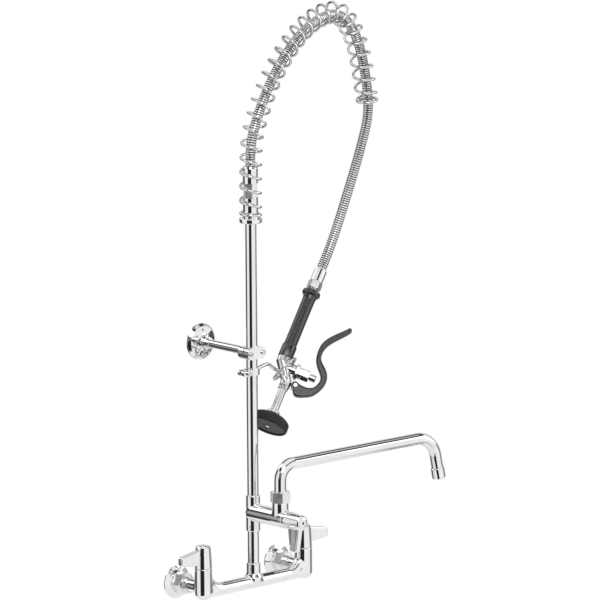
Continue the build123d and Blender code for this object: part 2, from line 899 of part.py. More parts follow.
# Finger hook: a band round the riser with two ears, and the bent bar that the spray hangs on
hook_root = Vector(riser_seat.origin.X, riser_seat.origin.Y, hook_z)
toward = hook_points[0] - hook_root
bar_points = [hook_root + toward.normalized() * (pipe_r + 1.5)] + hook_points
hook_radii = arc_radii(bar_points)
ear_front = hook_split + hook_ear
ear_back = hook_split + hook_ear / 2
ear_seat = Plane(
    origin=hook_root - Vector(hook_ear_x, 0, 0), x_dir=(1, 0, 0), z_dir=(0, 1, 0)
)
with BuildPart() as finger_hook:
    rod(riser_seat, hook_band_r, hook_z - hook_band / 2, hook_z + hook_band / 2)
    with BuildSketch(raised(ear_seat, -ear_front)):
        SlotOverall(2 * hook_ear_x - hook_band_r, hook_band)
    extrude(amount=ear_front + ear_back)
    rod(riser_seat, pipe_r + fit, hook_z - hook_band, hook_z + hook_band, mode=Mode.SUBTRACT)
    with BuildSketch(raised(ear_seat, -hook_split)):
        Rectangle(2 * hook_ear_x, 2 * hook_band)
    extrude(amount=2 * hook_split, mode=Mode.SUBTRACT)
    rod(ear_seat, hook_bolt_r + fit, -ear_front, ear_back, mode=Mode.SUBTRACT)
    with BuildLine() as hook_line:
        FilletPolyline(*bar_points, radius=hook_radii)
    with BuildSketch(Plane(origin=bar_points[0], z_dir=bar_points[1] - bar_points[0])) as bar:
        Circle(hook_r)
    sweep(bar.sketch, path=hook_line.line)
finger_hook.part.label = "finger_hook"
export_step(finger_hook.part, "parts/finger_hook.step")

with BuildPart() as hook_screw:
    rod(ear_seat, hook_bolt_r, -ear_front, ear_back + 5)
    rod(ear_seat, hook_head_r, -ear_front - hook_head, -ear_front)
hook_screw.part.label = "hook_screw"
export_step(hook_screw.part, "parts/hook_screw.step")

with BuildPart() as hook_nut:
    hexagon(ear_seat, hook_nut_across, ear_back, ear_back + hook_head, hook_nut_bevel)
    rod(ear_seat, hook_bolt_r + fit, ear_back, ear_back + hook_head, mode=Mode.SUBTRACT)
hook_nut.part.label = "hook_nut"
export_step(hook_nut.part, "parts/hook_nut.step")

# Fittings between the riser and the hose
with BuildPart() as spring_nut:
    turn(
        riser_seat,
        (pipe_r + fit, riser_top),
        (spring_nut_r - 1, riser_top),
        (spring_nut_r, riser_top + 1),
        (spring_nut_r, connector_foot - 1),
        (spring_nut_r - 1, connector_foot),
        (pipe_r + fit, connector_foot),
    )
spring_nut.part.label = "spring_nut"
export_step(spring_nut.part, "parts/spring_nut.step")

with BuildPart() as hose_connector:
    pipe(riser_seat, connector_r, hose_bore_r, connector_foot, coupling_foot)
    rod(riser_seat, pipe_r + fit, connector_foot, connector_foot + thread, mode=Mode.SUBTRACT)
hose_connector.part.label = "hose_connector"
export_step(hose_connector.part, "parts/hose_connector.step")

with BuildPart() as hose_coupling:
    hexagon(riser_seat, coupling_across, coupling_foot, sleeve_foot, hex_bevel)
    rod(riser_seat, hose_bore_r, coupling_foot, sleeve_foot, mode=Mode.SUBTRACT)
hose_coupling.part.label = "hose_coupling"
export_step(hose_coupling.part, "parts/hose_coupling.step")

with BuildPart() as hose_end_sleeve:
    turn(
        riser_seat,
        (hose_bore_r, sleeve_foot),
        (connector_r, sleeve_foot),
        (connector_r, hose_foot - 3),
        (connector_r - 1.5, hose_foot),
        (hose_bore_r, hose_foot),
    )
hose_end_sleeve.part.label = "hose_end_sleeve"
export_step(hose_end_sleeve.part, "parts/hose_end_sleeve.step")

# Flexible hose: a ribbed tube on straight runs and tangent arcs
hose_radii = arc_radii(hose_points)
print("hose arc radii", [round(radius, 1) for radius in hose_radii])
with BuildLine():
    hose_path = FilletPolyline(*hose_points, radius=hose_radii)
hose_length = hose_path.length
arch_normal = Vector(-sin(radians(spring_heading)), cos(radians(spring_heading)), 0)


def hose_ring(distance, radius):
    """A circle square to the hose's path at a distance along it."""
    here = hose_path.position_at(distance, position_mode=PositionMode.LENGTH)
    ahead = hose_path.tangent_at(distance, position_mode=PositionMode.LENGTH)
    with BuildSketch(Plane(origin=here, x_dir=arch_normal, z_dir=ahead)) as ring:
        Circle(radius)
    return ring.sketch


rib_pitch = (hose_length - 2 * hose_end) / hose_ribs
with BuildPart() as hose:
    rings = [hose_ring(0, hose_r - hose_groove)]
    for rib in range(hose_ribs):
        foot = hose_end + rib * rib_pitch
        for share, depth in rib_profile:
            rings.append(hose_ring(foot + share * rib_pitch, hose_r - depth))
    rings.append(hose_ring(hose_length, hose_r - hose_groove))
    loft(rings, ruled=True)
    sweep(hose_ring(0, hose_bore_r), path=hose_path, mode=Mode.SUBTRACT)
hose.part.label = "hose"
export_step(hose.part, "parts/hose.step")
print("hose length", round(hose_length, 1), "rib pitch", round(rib_pitch, 2))

# Overhead spring: one left-handed coil on an arched route, closed at both ends
arch_x = Vector(cos(radians(spring_heading)), sin(radians(spring_heading)), 0)
spring_foot = connector_foot - hose_foot + spring_wire_r + gap
spring_points = [
    hose_start + arch_x * across + Vector(0, 0, up)
    for across, up in [(0, spring_foot)] + spring_route
]
with BuildLine():
    spring_path = FilletPolyline(*spring_points, radius=arc_radii(spring_points))
open_pitch = (spring_path.length - 2 * spring_closed) / (spring_turns - 2)


def coil_point(turns):
    """The wire's centre after a number of turns."""
    advance = spring_closed * min(turns, 1)
    advance += open_pitch * min(max(turns - 1, 0), spring_turns - 2)
    advance += spring_closed * max(turns - spring_turns + 1, 0)
    advance = min(max(advance, 0), spring_path.length)
    here = spring_path.position_at(advance, position_mode=PositionMode.LENGTH)
    ahead = spring_path.tangent_at(advance, position_mode=PositionMode.LENGTH)
    inward = arch_normal.cross(ahead)
    angle = -2 * pi * turns
    return here + (arch_normal * cos(angle) + inward * sin(angle)) * spring_r


def coil_tangent(turns):
    """The wire's direction there."""
    step = 0.002
    return (coil_point(min(turns + step, spring_turns)) - coil_point(max(turns - step, 0))).normalized()


def biarc(start, start_way, end, end_way):
    """Two arcs that leave one point and reach another in the given directions."""
    chord = end - start
    both = start_way + end_way
    square = 2 * (1 - start_way.dot(end_way))
    reach = -chord.dot(both) + sqrt(chord.dot(both) ** 2 + square * chord.dot(chord))
    reach = reach / square
    first = start + start_way * reach
    last = end - end_way * reach
    middle = (first + last) * 0.5
    return middle, (last - first).normalized()


half_turns = [turns / 2 for turns in range(2 * spring_turns + 1)]
with BuildPart() as overhead_spring:
    with BuildLine() as coil_line:
        first_way = coil_tangent(0)
        Line(coil_point(0) - first_way * 2 * spring_wire_r, coil_point(0))
        for start, end in zip(half_turns, half_turns[1:]):
            middle, way = biarc(
                coil_point(start), coil_tangent(start), coil_point(end), coil_tangent(end)
            )
            TangentArc(coil_point(start), middle, tangent=coil_tangent(start))
            TangentArc(middle, coil_point(end), tangent=way)
        last_way = coil_tangent(spring_turns)
        Line(coil_point(spring_turns), coil_point(spring_turns) + last_way * 2 * spring_wire_r)
    with BuildSketch(
        Plane(origin=coil_point(0) - first_way * 2 * spring_wire_r, z_dir=first_way)
    ) as wire:
        Circle(spring_wire_r)
    sweep(wire.sketch, path=coil_line.line)
overhead_spring.part.label = "overhead_spring"
export_step(overhead_spring.part, "parts/overhead_spring.step")

samples = 40
beads = [coil_point(bead / samples) for bead in range(samples * spring_turns + 1)]
least = min(
    (beads[i] - beads[j]).length
    for i in range(0, len(beads), 4)
    for j in range(i + samples // 2, min(i + 2 * samples, len(beads)))
)
print("spring's least gap to itself", round(least - 2 * spring_wire_r, 2))

# Hand spray's grip end: ferrule, nut, collar, grip and its inner tube
nut_foot = ferrule_length + hose_nut_t
grip_start = collar_start + collar_length
grip_end = grip_start + grip_length
neck_start = grip_end + grip_sleeve_length
with BuildPart() as hose_ferrule:
    turn(
        spray_seat,
        (grip_tube_bore, 0),
        (ferrule_r - 1, 0),
        (ferrule_r, 1),
        (ferrule_r, ferrule_length),
        (grip_tube_bore, ferrule_length),
    )
hose_ferrule.part.label = "hose_ferrule"
export_step(hose_ferrule.part, "parts/hose_ferrule.step")

with BuildPart() as hose_nut:
    hexagon(spray_seat, hose_nut_across, ferrule_length, nut_foot, hex_bevel)
    rod(spray_seat, grip_tube_bore, ferrule_length, nut_foot, mode=Mode.SUBTRACT)
    rod(
        spray_seat,
        grip_tube_r + fit,
        nut_foot - grip_tube_lap,
        nut_foot,
        mode=Mode.SUBTRACT,
    )
hose_nut.part.label = "hose_nut"
export_step(hose_nut.part, "parts/hose_nut.step")

with BuildPart() as grip_tube:
    pipe(
        spray_seat,
        grip_tube_r,
        grip_tube_bore,
        nut_foot - grip_tube_lap,
        neck_start + grip_tube_lap,
    )
grip_tube.part.label = "grip_tube"
export_step(grip_tube.part, "parts/grip_tube.step")

with BuildPart() as grip_collar:
    pipe(spray_seat, collar_r, grip_tube_r + fit, collar_start, grip_start)
    rims = grip_collar.edges().filter_by(GeomType.CIRCLE).sort_by(SortBy.RADIUS)[-2:]
    fillet(rims, collar_length / 2 - 0.5)
grip_collar.part.label = "grip_collar"
export_step(grip_collar.part, "parts/grip_collar.step")

with BuildPart() as grip:
    turn(
        spray_seat,
        (grip_tube_r + fit, grip_start),
        (grip_end_r, grip_start),
        (grip_r, grip_start + 6),
        (grip_r, grip_end),
        (grip_tube_r + fit, grip_end),
    )
grip.part.label = "grip"
export_step(grip.part, "parts/grip.step")

with BuildPart() as grip_sleeve:
    with BuildSketch(raised(spray_seat, grip_end)):
        RegularPolygon(grip_sleeve_across / 2, 8, major_radius=False)
    extrude(amount=grip_sleeve_length)
    turn(
        spray_seat,
        (0, grip_end),
        (grip_r + 0.5, grip_end),
        (grip_sleeve_across / 2 + 1, grip_end + 3),
        (grip_sleeve_across / 2 + 1, neck_start),
        (0, neck_start),
        mode=Mode.INTERSECT,
    )
    rod(spray_seat, grip_tube_r + fit, grip_end, neck_start, mode=Mode.SUBTRACT)
grip_sleeve.part.label = "grip_sleeve"
export_step(grip_sleeve.part, "parts/grip_sleeve.step")

# Spray valve: neck, slanted waist, outlet socket, bonnet boss and the lever's lug
outlet_seat = Plane(
    origin=spray_seat.origin + spray_seat.x_dir * outlet_shift,
    x_dir=spray_seat.x_dir,
    z_dir=spray_seat.z_dir,
)
bonnet_seat = Plane(
    origin=spray_seat.origin + spray_seat.z_dir * bonnet_t,
    x_dir=-spray_seat.z_dir,
    z_dir=spray_seat.x_dir,
)
lever_plane = Plane(
    origin=spray_seat.origin, x_dir=spray_seat.z_dir, z_dir=spray_seat.z_dir.cross(spray_seat.x_dir)
)
pin_seat = Plane(
    origin=spray_seat.origin + spray_seat.z_dir * pin_down + spray_seat.x_dir * pin_out,
    x_dir=spray_seat.z_dir,
    z_dir=lever_plane.z_dir,
)
with BuildPart() as valve_body:
    rod(spray_seat, valve_neck_r, neck_start, neck_start + valve_neck)
    with BuildSketch(raised(spray_seat, neck_start + valve_neck)) as waist_top:
        Circle(valve_neck_r)
    with BuildSketch(raised(outlet_seat, outlet_start)) as waist_foot:
        Circle(outlet_r)
    loft([waist_top.sketch, waist_foot.sketch])
    rod(outlet_seat, outlet_r, outlet_start, outlet_end - 5)
    rod(outlet_seat, outlet_collar_r, outlet_start, outlet_end)
    rod(bonnet_seat, spray_boss_r, 0, boss_out)
    with BuildSketch(lever_plane) as web:
        with BuildLine():
            Polyline(
                (bonnet_t + 4, boss_out - 1),
                (pin_down - 8, boss_out - 1),
                (pin_down + 6, outlet_shift + 5),
                (bonnet_t, outlet_shift),
                close=True,
            )
        make_face()
    extrude(web.sketch, amount=lug_t, both=True)
    with BuildSketch(lever_plane) as lug:
        with BuildLine():
            Polyline(
                (pin_down - lug_r, pin_out),
                (pin_down - lug_r, outlet_shift + 2),
                (pin_down + lug_r + 2, outlet_shift + 2),
                (pin_down + lug_r, pin_out),
                close=True,
            )
        make_face()
        with Locations((pin_down, pin_out)):
            Circle(lug_r)
    extrude(lug.sketch, amount=lug_t / 2, both=True)
    rod(pin_seat, pin_r + running, -lug_t, lug_t, mode=Mode.SUBTRACT)
    rod(bonnet_seat, valve_chamber_r, -valve_neck_r + 3, boss_out, mode=Mode.SUBTRACT)
    rod(spray_seat, grip_tube_bore, neck_start, bonnet_t, mode=Mode.SUBTRACT)
    rod(
        spray_seat,
        grip_tube_r + fit,
        neck_start,
        neck_start + grip_tube_lap,
        mode=Mode.SUBTRACT,
    )
    rod(outlet_seat, barrel_bore_r, bonnet_t, outlet_end, mode=Mode.SUBTRACT)
valve_body.part.label = "valve_body"
export_step(valve_body.part, "parts/valve_body.step")

# Bonnet with the plunger's well
bonnet_foot = boss_out + bonnet_flange
bonnet_end = bonnet_foot + bonnet_barrel
with BuildPart() as valve_bonnet:
    hexagon(bonnet_seat, bonnet_across, boss_out, bonnet_foot, hex_bevel)
    with BuildSketch(raised(bonnet_seat, bonnet_foot)):
        RegularPolygon(bonnet_barrel_across / 2, 6, major_radius=False)
    extrude(amount=bonnet_barrel)
    rod(bonnet_seat, valve_chamber_r - fit, boss_out - 6, boss_out)
    rod(bonnet_seat, plunger_stem_r + running, 0, bonnet_end, mode=Mode.SUBTRACT)
    rod(
        bonnet_seat,
        button_r + gap,
        bonnet_end - plunger_well,
        bonnet_end,
        mode=Mode.SUBTRACT,
    )
valve_bonnet.part.label = "valve_bonnet"
export_step(valve_bonnet.part, "parts/valve_bonnet.step")

# Plunger: seal disc, stem and the button that the lever pushes
button_foot = bonnet_end + 1
with BuildPart() as plunger:
    rod(bonnet_seat, plunger_stem_r, plunger_start, button_foot + 1)
    rod(bonnet_seat, plunger_disc_r, plunger_start, plunger_start + plunger_disc)
    turn(
        bonnet_seat,
        (0, button_foot),
        (button_r, button_foot),
        (button_r, button_foot + button_length - button_edge),
        (button_r - button_edge, button_foot + button_length),
        (0, button_foot + button_length),
    )
plunger.part.label = "plunger"
export_step(plunger.part, "parts/plunger.step")

# Return spring in the bonnet's well, drawn as its closed outer shape
with BuildPart() as plunger_spring:
    pipe(
        bonnet_seat,
        plunger_stem_r + coil_play + 2 * coil_wire_r,
        plunger_stem_r + coil_play,
        bonnet_end - plunger_well,
        button_foot,
    )
plunger_spring.part.label = "plunger_spring"
export_step(plunger_spring.part, "parts/plunger_spring.step")

# Squeeze lever: an S-bent bar, forked round the lug
with BuildPart() as lever:
    with BuildSketch(lever_plane) as lever_side:
        with BuildLine():
            hub_out = (pin_down + lever_hub_r, pin_out - 1)
            hub_in = (pin_down - lever_hub_r, pin_out + 1)
            outer = Spline(hub_out, *lever_outer)
            ThreePointArc(outer @ 1, lever_nose, lever_inner[0])
            inner = Spline(*lever_inner, hub_in)
            ThreePointArc(inner @ 1, (pin_down, pin_out - lever_hub_r), hub_out)
        make_face()
    extrude(lever_side.sketch, amount=lever_t / 2, both=True)
    chamfer(lever.edges().filter_by(GeomType.BSPLINE), lever_edge)
    with BuildSketch(lever_plane) as fork:
        with Locations((pin_down, pin_out - fork_deep / 2)):
            Rectangle(2 * fork_deep, fork_deep)
        with Locations((pin_down, pin_out)):
            Circle(lug_r + 4 * gap)
    extrude(fork.sketch, amount=lug_t / 2 + gap, both=True, mode=Mode.SUBTRACT)
    rod(pin_seat, pin_r + fit, -lever_t, lever_t, mode=Mode.SUBTRACT)
lever.part.label = "lever"
export_step(lever.part, "parts/lever.step")

with BuildPart() as lever_screw:
    rod(pin_seat, pin_r, -lever_t / 2 - pin_head, lever_t / 2)
    rod(pin_seat, pin_head_r, lever_t / 2, lever_t / 2 + pin_head)
    rod(pin_seat, pin_head_r, -lever_t / 2 - pin_head, -lever_t / 2)
lever_screw.part.label = "lever_screw"
export_step(lever_screw.part, "parts/lever_screw.step")

# Barrel from the valve down to the spray head
barrel_end = outlet_end + barrel_length + barrel_flange
with BuildPart() as barrel:
    pipe(outlet_seat, barrel_r, barrel_bore_r, outlet_end, barrel_end + barrel_spigot)
    pipe(outlet_seat, barrel_flange_r, barrel_bore_r, barrel_end - barrel_flange, barrel_end)
barrel.part.label = "barrel"
export_step(barrel.part, "parts/barrel.step")

# Rubber bumper, screen plate and its screw
bumper_front = barrel_end + bumper_depth
face_front = bumper_front - face_recess
face_back = face_front - face_t
with BuildPart() as bumper:
    turn(
        outlet_seat,
        (barrel_r + fit, barrel_end),
        (bumper_back_r, barrel_end + 1),
        (bumper_r - 6, bumper_front - bumper_rim - 4),
        (bumper_r, bumper_front - bumper_rim + 1),
        (bumper_r, bumper_front - 1.5),
        (bumper_r - 1.5, bumper_front),
        (face_r + fit, bumper_front),
        (face_r + fit, face_back),
        (face_r - 4, face_back),
        (face_r - 4, face_back - 4),
        (barrel_r + fit, face_back - 4),
    )
bumper.part.label = "bumper"
export_step(bumper.part, "parts/bumper.step")

with BuildPart() as spray_face:
    rod(outlet_seat, face_r, face_back, face_front)
    with BuildSketch(raised(outlet_seat, face_back)) as spray_jets:
        with PolarLocations(spray_hole_ring, spray_holes):
            Circle(spray_hole_r)
    extrude(spray_jets.sketch, amount=face_t, mode=Mode.SUBTRACT)
    rod(outlet_seat, face_screw_r / 2 + fit, face_back, face_front, mode=Mode.SUBTRACT)
spray_face.part.label = "spray_face"
export_step(spray_face.part, "parts/spray_face.step")

with BuildPart() as face_screw:
    rod(outlet_seat, face_screw_r / 2, face_back - 1, face_front)
    rod(outlet_seat, face_screw_r, face_front, face_front + face_screw_head)
face_screw.part.label = "face_screw"
export_step(face_screw.part, "parts/face_screw.step")

# Loose hold-down ring round the valve's waist and the hook's bar
tilt = radians(ring_tilt)
ring_seat = Plane(
    origin=spray_seat.origin
    + spray_seat.z_dir * ring_down
    + spray_seat.x_dir * ring_out
    + spray_seat.y_dir * ring_shift,
    x_dir=spray_seat.y_dir,
    z_dir=spray_seat.x_dir * cos(tilt) + spray_seat.z_dir * sin(tilt),
)
with BuildPart() as hold_down_ring:
    with BuildSketch(
        Plane(origin=ring_seat.origin, x_dir=ring_seat.x_dir, z_dir=-ring_seat.y_dir)
    ) as ring_round:
        with Locations((ring_r, 0)):
            Circle(ring_wire_r)
    revolve(ring_round.sketch, axis=Axis(ring_seat.origin, ring_seat.z_dir))
hold_down_ring.part.label = "hold_down_ring"
export_step(hold_down_ring.part, "parts/hold_down_ring.step")
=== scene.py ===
import json
import math

import bmesh
import bpy
from mathutils import Matrix, Vector


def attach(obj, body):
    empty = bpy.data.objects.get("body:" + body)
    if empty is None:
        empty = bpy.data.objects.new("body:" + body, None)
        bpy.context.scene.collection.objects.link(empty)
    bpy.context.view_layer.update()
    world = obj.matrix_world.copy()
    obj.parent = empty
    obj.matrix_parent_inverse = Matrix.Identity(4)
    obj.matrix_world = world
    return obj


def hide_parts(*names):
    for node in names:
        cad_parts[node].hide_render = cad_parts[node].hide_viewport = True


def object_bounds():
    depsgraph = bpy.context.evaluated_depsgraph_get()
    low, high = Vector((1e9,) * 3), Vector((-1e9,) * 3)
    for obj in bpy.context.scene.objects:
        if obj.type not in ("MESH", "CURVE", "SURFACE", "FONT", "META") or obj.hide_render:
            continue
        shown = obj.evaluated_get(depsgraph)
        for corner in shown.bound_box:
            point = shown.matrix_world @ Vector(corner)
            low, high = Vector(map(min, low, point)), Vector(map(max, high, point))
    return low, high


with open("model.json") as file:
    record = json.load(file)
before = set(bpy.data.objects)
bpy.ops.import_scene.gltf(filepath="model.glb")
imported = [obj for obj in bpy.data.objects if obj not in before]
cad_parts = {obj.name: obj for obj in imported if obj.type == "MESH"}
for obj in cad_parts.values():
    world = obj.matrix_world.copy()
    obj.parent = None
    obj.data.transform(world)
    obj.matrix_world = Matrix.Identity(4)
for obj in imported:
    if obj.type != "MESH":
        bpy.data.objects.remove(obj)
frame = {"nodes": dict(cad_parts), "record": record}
cad_box = [list(corner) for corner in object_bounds()]
scene = bpy.context.scene

# Camera: far off, at the photograph's azimuth and elevation, in radians, with its slight roll
VIEW_AZIMUTH = math.radians(-42.9)
VIEW_ELEVATION = math.radians(11.6)
VIEW_ROLL = 0.0073
VIEW_SPAN = 0.8969  # metres across the picture, at the object
VIEW_LENS = 600.0  # millimetres
CLIP_REACH = 4  # the camera sees from this fraction to this multiple of its distance
VIEW_CENTRE = (0.07228, 0.4201)  # metres to the right of and above the aim's origin
AIM_ORIGIN = Vector((0, -0.060, -0.0065))

toward = Vector(
    (
        math.sin(VIEW_AZIMUTH) * math.cos(VIEW_ELEVATION),
        -math.cos(VIEW_AZIMUTH) * math.cos(VIEW_ELEVATION),
        math.sin(VIEW_ELEVATION),
    )
)
level = Vector((math.cos(VIEW_AZIMUTH), math.sin(VIEW_AZIMUTH), 0))
upward = toward.cross(level)
right = (level - upward * VIEW_ROLL).normalized()
above = (upward + level * VIEW_ROLL).normalized()
aim = AIM_ORIGIN + level * VIEW_CENTRE[0] + upward * VIEW_CENTRE[1]

lens = bpy.data.cameras.new("camera")
lens.lens = VIEW_LENS
camera_distance = VIEW_SPAN * VIEW_LENS / lens.sensor_width
lens.clip_start = camera_distance / CLIP_REACH
lens.clip_end = camera_distance * CLIP_REACH
camera = bpy.data.objects.new("camera", lens)
camera.matrix_world = Matrix.Translation(aim + toward * camera_distance) @ Matrix(
    (right, above, toward)
).transposed().to_4x4()
scene.collection.objects.link(camera)
scene.camera = camera


# Curves read as points
ROUTE_RESOLUTION = 40  # points for each span of a spline
WAY_REACH = 0.0015  # metres either side of a place that give its direction


def route_line(points):
    """The line of the NURBS spline that has these control points."""
    data = bpy.data.curves.new("route", "CURVE")
    data.dimensions = "3D"
    data.resolution_u = ROUTE_RESOLUTION
    spline = data.splines.new("NURBS")
    spline.points.add(len(points) - 1)
    for control, point in zip(spline.points, points):
        control.co = (*point, 1)
    spline.order_u = 3
    spline.use_endpoint_u = True
    curve = bpy.data.objects.new("route", data)
    mesh = bpy.data.meshes.new_from_object(curve)
    line = [vertex.co.copy() for vertex in mesh.vertices]
    bpy.data.objects.remove(curve)
    bpy.data.meshes.remove(mesh)
    return line


class Walk:
    """Positions and directions by distance along a line of points."""

    def __init__(self, line):
        self.line = line
        self.marks = [0.0]
        for before, after in zip(line, line[1:]):
            self.marks.append(self.marks[-1] + (after - before).length)
        self.length = self.marks[-1]

    def at(self, distance):
        distance = min(max(distance, 0), self.length)
        low, high = 0, len(self.marks) - 1
        while high - low > 1:
            middle = (low + high) // 2
            if self.marks[middle] <= distance:
                low = middle
            else:
                high = middle
        share = (distance - self.marks[low]) / (self.marks[high] - self.marks[low])
        return self.line[low].lerp(self.line[high], share)

    def way(self, distance):
        return (self.at(distance + WAY_REACH) - self.at(distance - WAY_REACH)).normalized()


# Route of the hose, from the top of its sleeve to the ferrule of the hand spray
HOSE_DIAMETER = 0.0152
HOSE_EXIT = Vector((0, -0.060, 0.626))
HOSE_ROUTE = [
    HOSE_EXIT + Vector(point)
    for point in (
        (0, 0, 0),
        (0, 0, 0.030),
        (0.014, 0.002, 0.0655),
        (0.040, 0.0056, 0.1085),
        (0.078, 0.011, 0.1505),
        (0.124, 0.0174, 0.1845),
        (0.170, 0.0239, 0.2005),
        (0.213, 0.0299, 0.1995),
        (0.2495, 0.0352, 0.1655),
        (0.2705, 0.0386, 0.1085),
        (0.283, 0.0413, 0.0405),
        (0.2685, 0.0465, -0.0165),
        (0.247, 0.050, -0.0755),
        (0.2235, 0.052, -0.1325),
        (0.2049, 0.0517, -0.1679),
        (0.1866, 0.048, -0.1913),
    )
]

# Route of the overhead spring's middle, in the upright plane that the arch lies in
ARCH_HEADING = math.radians(8.0)
ARCH_ACROSS = Vector((math.cos(ARCH_HEADING), math.sin(ARCH_HEADING), 0))
ARCH_NORMAL = Vector((-math.sin(ARCH_HEADING), math.cos(ARCH_HEADING), 0))
SPRING_ROUTE = [
    HOSE_EXIT + ARCH_ACROSS * across + Vector((0, 0, rise))
    for across, rise in (
        (0, -0.0757),
        (0, 0.0315),
        (0.014, 0.0665),
        (0.038, 0.110),
        (0.075, 0.1535),
        (0.1215, 0.188),
        (0.1685, 0.2045),
        (0.213, 0.2035),
        (0.2485, 0.166),
        (0.2685, 0.1085),
        (0.278, 0.0555),
    )
]


# Mesh pieces
SMOOTH_ANGLE = math.radians(35)  # faces that meet at less than this shade smoothly
CORNER_SHARE = 0.48  # most of an edge that one corner's round may take
CORNER_STEPS = 6
LATHE_SIDES = 96


def piece(name, vertices, faces, material, slot, body="faucet"):
    """A mesh object that rides on a body."""
    mesh = bpy.data.meshes.new(name)
    mesh.from_pydata([tuple(vertex) for vertex in vertices], [], faces)
    mesh.materials.append(material)
    mesh.polygons.foreach_set("use_smooth", [True] * len(mesh.polygons))
    mesh.update()
    mesh.set_sharp_from_angle(angle=SMOOTH_ANGLE)
    made = bpy.data.objects.new(name, mesh)
    scene.collection.objects.link(made)
    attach(made, body)
    return made


def rings_to_mesh(rings, closed_along=False):
    """Vertices and faces of a skin over rings with the same number of points."""
    count = len(rings[0])
    vertices = [point for ring in rings for point in ring]
    faces = []
    spans = len(rings) if closed_along else len(rings) - 1
    for span in range(spans):
        here = span * count
        there = (span + 1) % len(rings) * count
        for side in range(count):
            after = (side + 1) % count
            faces.append((here + side, here + after, there + after, there + side))
    if not closed_along:
        faces.append(tuple(reversed(range(count))))
        faces.append(tuple(range((len(rings) - 1) * count, len(rings) * count)))
    return vertices, faces


def sweep_rings(places, ways, radii, sides, start_side=None):
    """Round rings along a line, turned as little as possible from one to the next."""
    side = start_side or ways[0].orthogonal()
    rings = []
    for place, way, radius in zip(places, ways, radii):
        side = (side - way * side.dot(way)).normalized()
        other = way.cross(side)
        rings.append(
            [
                place
                + (side * math.cos(turn) + other * math.sin(turn)) * radius
                for turn in (2 * math.pi * step / sides for step in range(sides))
            ]
        )
    return rings


def rounded(corners):
    """A (radius, height) profile through corners of (radius, height, reach of the round)."""
    points = []
    for index, (radius, height, reach) in enumerate(corners):
        here = Vector((radius, height))
        if reach == 0:
            points.append(here)
            continue
        back = Vector(corners[index - 1][:2]) - here
        ahead = Vector(corners[index + 1][:2]) - here
        reach = min(reach, back.length * CORNER_SHARE, ahead.length * CORNER_SHARE)
        first = here + back.normalized() * reach
        final = here + ahead.normalized() * reach
        for step in range(CORNER_STEPS + 1):
            share = step / CORNER_STEPS
            points.append(
                first * (1 - share) ** 2 + here * 2 * share * (1 - share) + final * share**2
            )
    return points


def lathe(seat, profile, sides=LATHE_SIDES):
    """Rings of a (radius, height) profile turned round a seat's axis."""
    origin, along, out, aside = seat
    rings = []
    for radius, height in profile:
        rings.append(
            [
                origin
                + along * height
                + (out * math.cos(turn) + aside * math.sin(turn)) * radius
                for turn in (2 * math.pi * step / sides for step in range(sides))
            ]
        )
    return rings


# Procedural materials. Sizes are in metres: how far across a patch, a smudge or a wave is.
METAL_PATCH = 0.035
METAL_SMUDGE = 0.012
RUBBER_PATCH = 0.006
RUBBER_WEAR = 0.009
NOISE_LOW, NOISE_HIGH = 0.3, 0.7  # the part of a noise's range that is used
MOTTLE_HIGH = 0.75  # the same for the mottle of rubber
BEVEL_SAMPLES = 8
RAMP_MIDDLE = 0.5  # where a ramp's new stop comes in, before it gets its own place


def set_stops(ramp, stops):
    """Stops of (position, colour) on a ramp node."""
    elements = ramp.color_ramp.elements
    while len(elements) < len(stops):
        elements.new(RAMP_MIDDLE)
    for element, (at, color) in zip(elements, stops):
        element.position = at
        element.color = (*color, 1)


class Nodes:
    """A material's node tree, with short ways to add and join nodes."""

    def __init__(self, name):
        self.material = bpy.data.materials.new(name)
        self.material.use_nodes = True
        self.tree = self.material.node_tree
        self.shader = self.tree.nodes["Principled BSDF"]
        self.place = self.add("ShaderNodeTexCoord").outputs["Object"]

    def add(self, kind):
        return self.tree.nodes.new(kind)

    def join(self, output, target):
        self.tree.links.new(output, target)

    def scaled(self, scale):
        mapping = self.add("ShaderNodeMapping")
        mapping.inputs["Scale"].default_value = scale
        self.join(self.place, mapping.inputs["Vector"])
        return mapping.outputs["Vector"]

    def noise(self, size, detail, stretch=(1, 1, 1), roughness=0.5):
        """Noise whose features are about this many metres across."""
        node = self.add("ShaderNodeTexNoise")
        node.inputs["Scale"].default_value = 1.0
        node.inputs["Detail"].default_value = detail
        node.inputs["Roughness"].default_value = roughness
        self.join(self.scaled([part / size for part in stretch]), node.inputs["Vector"])
        return node.outputs["Fac"]

    def spread(self, value, low, high):
        node = self.add("ShaderNodeMapRange")
        node.inputs["From Min"].default_value = NOISE_LOW
        node.inputs["From Max"].default_value = NOISE_HIGH
        node.inputs["To Min"].default_value = low
        node.inputs["To Max"].default_value = high
        self.join(value, node.inputs["Value"])
        return node.outputs["Result"]

    def shades(self, value, *stops):
        ramp = self.add("ShaderNodeValToRGB")
        set_stops(ramp, stops)
        self.join(value, ramp.inputs["Fac"])
        return ramp.outputs["Color"]

    def bump(self, value, depth, under):
        node = self.add("ShaderNodeBump")
        node.inputs["Strength"].default_value = 1.0
        node.inputs["Distance"].default_value = depth
        self.join(value, node.inputs["Height"])
        self.join(under, node.inputs["Normal"])
        return node.outputs["Normal"]

    def edges(self, radius):
        node = self.add("ShaderNodeBevel")
        node.samples = BEVEL_SAMPLES
        node.inputs["Radius"].default_value = radius
        return node.outputs["Normal"]

    def set(self, **values):
        for key, value in values.items():
            self.shader.inputs[key.replace("_", " ")].default_value = value


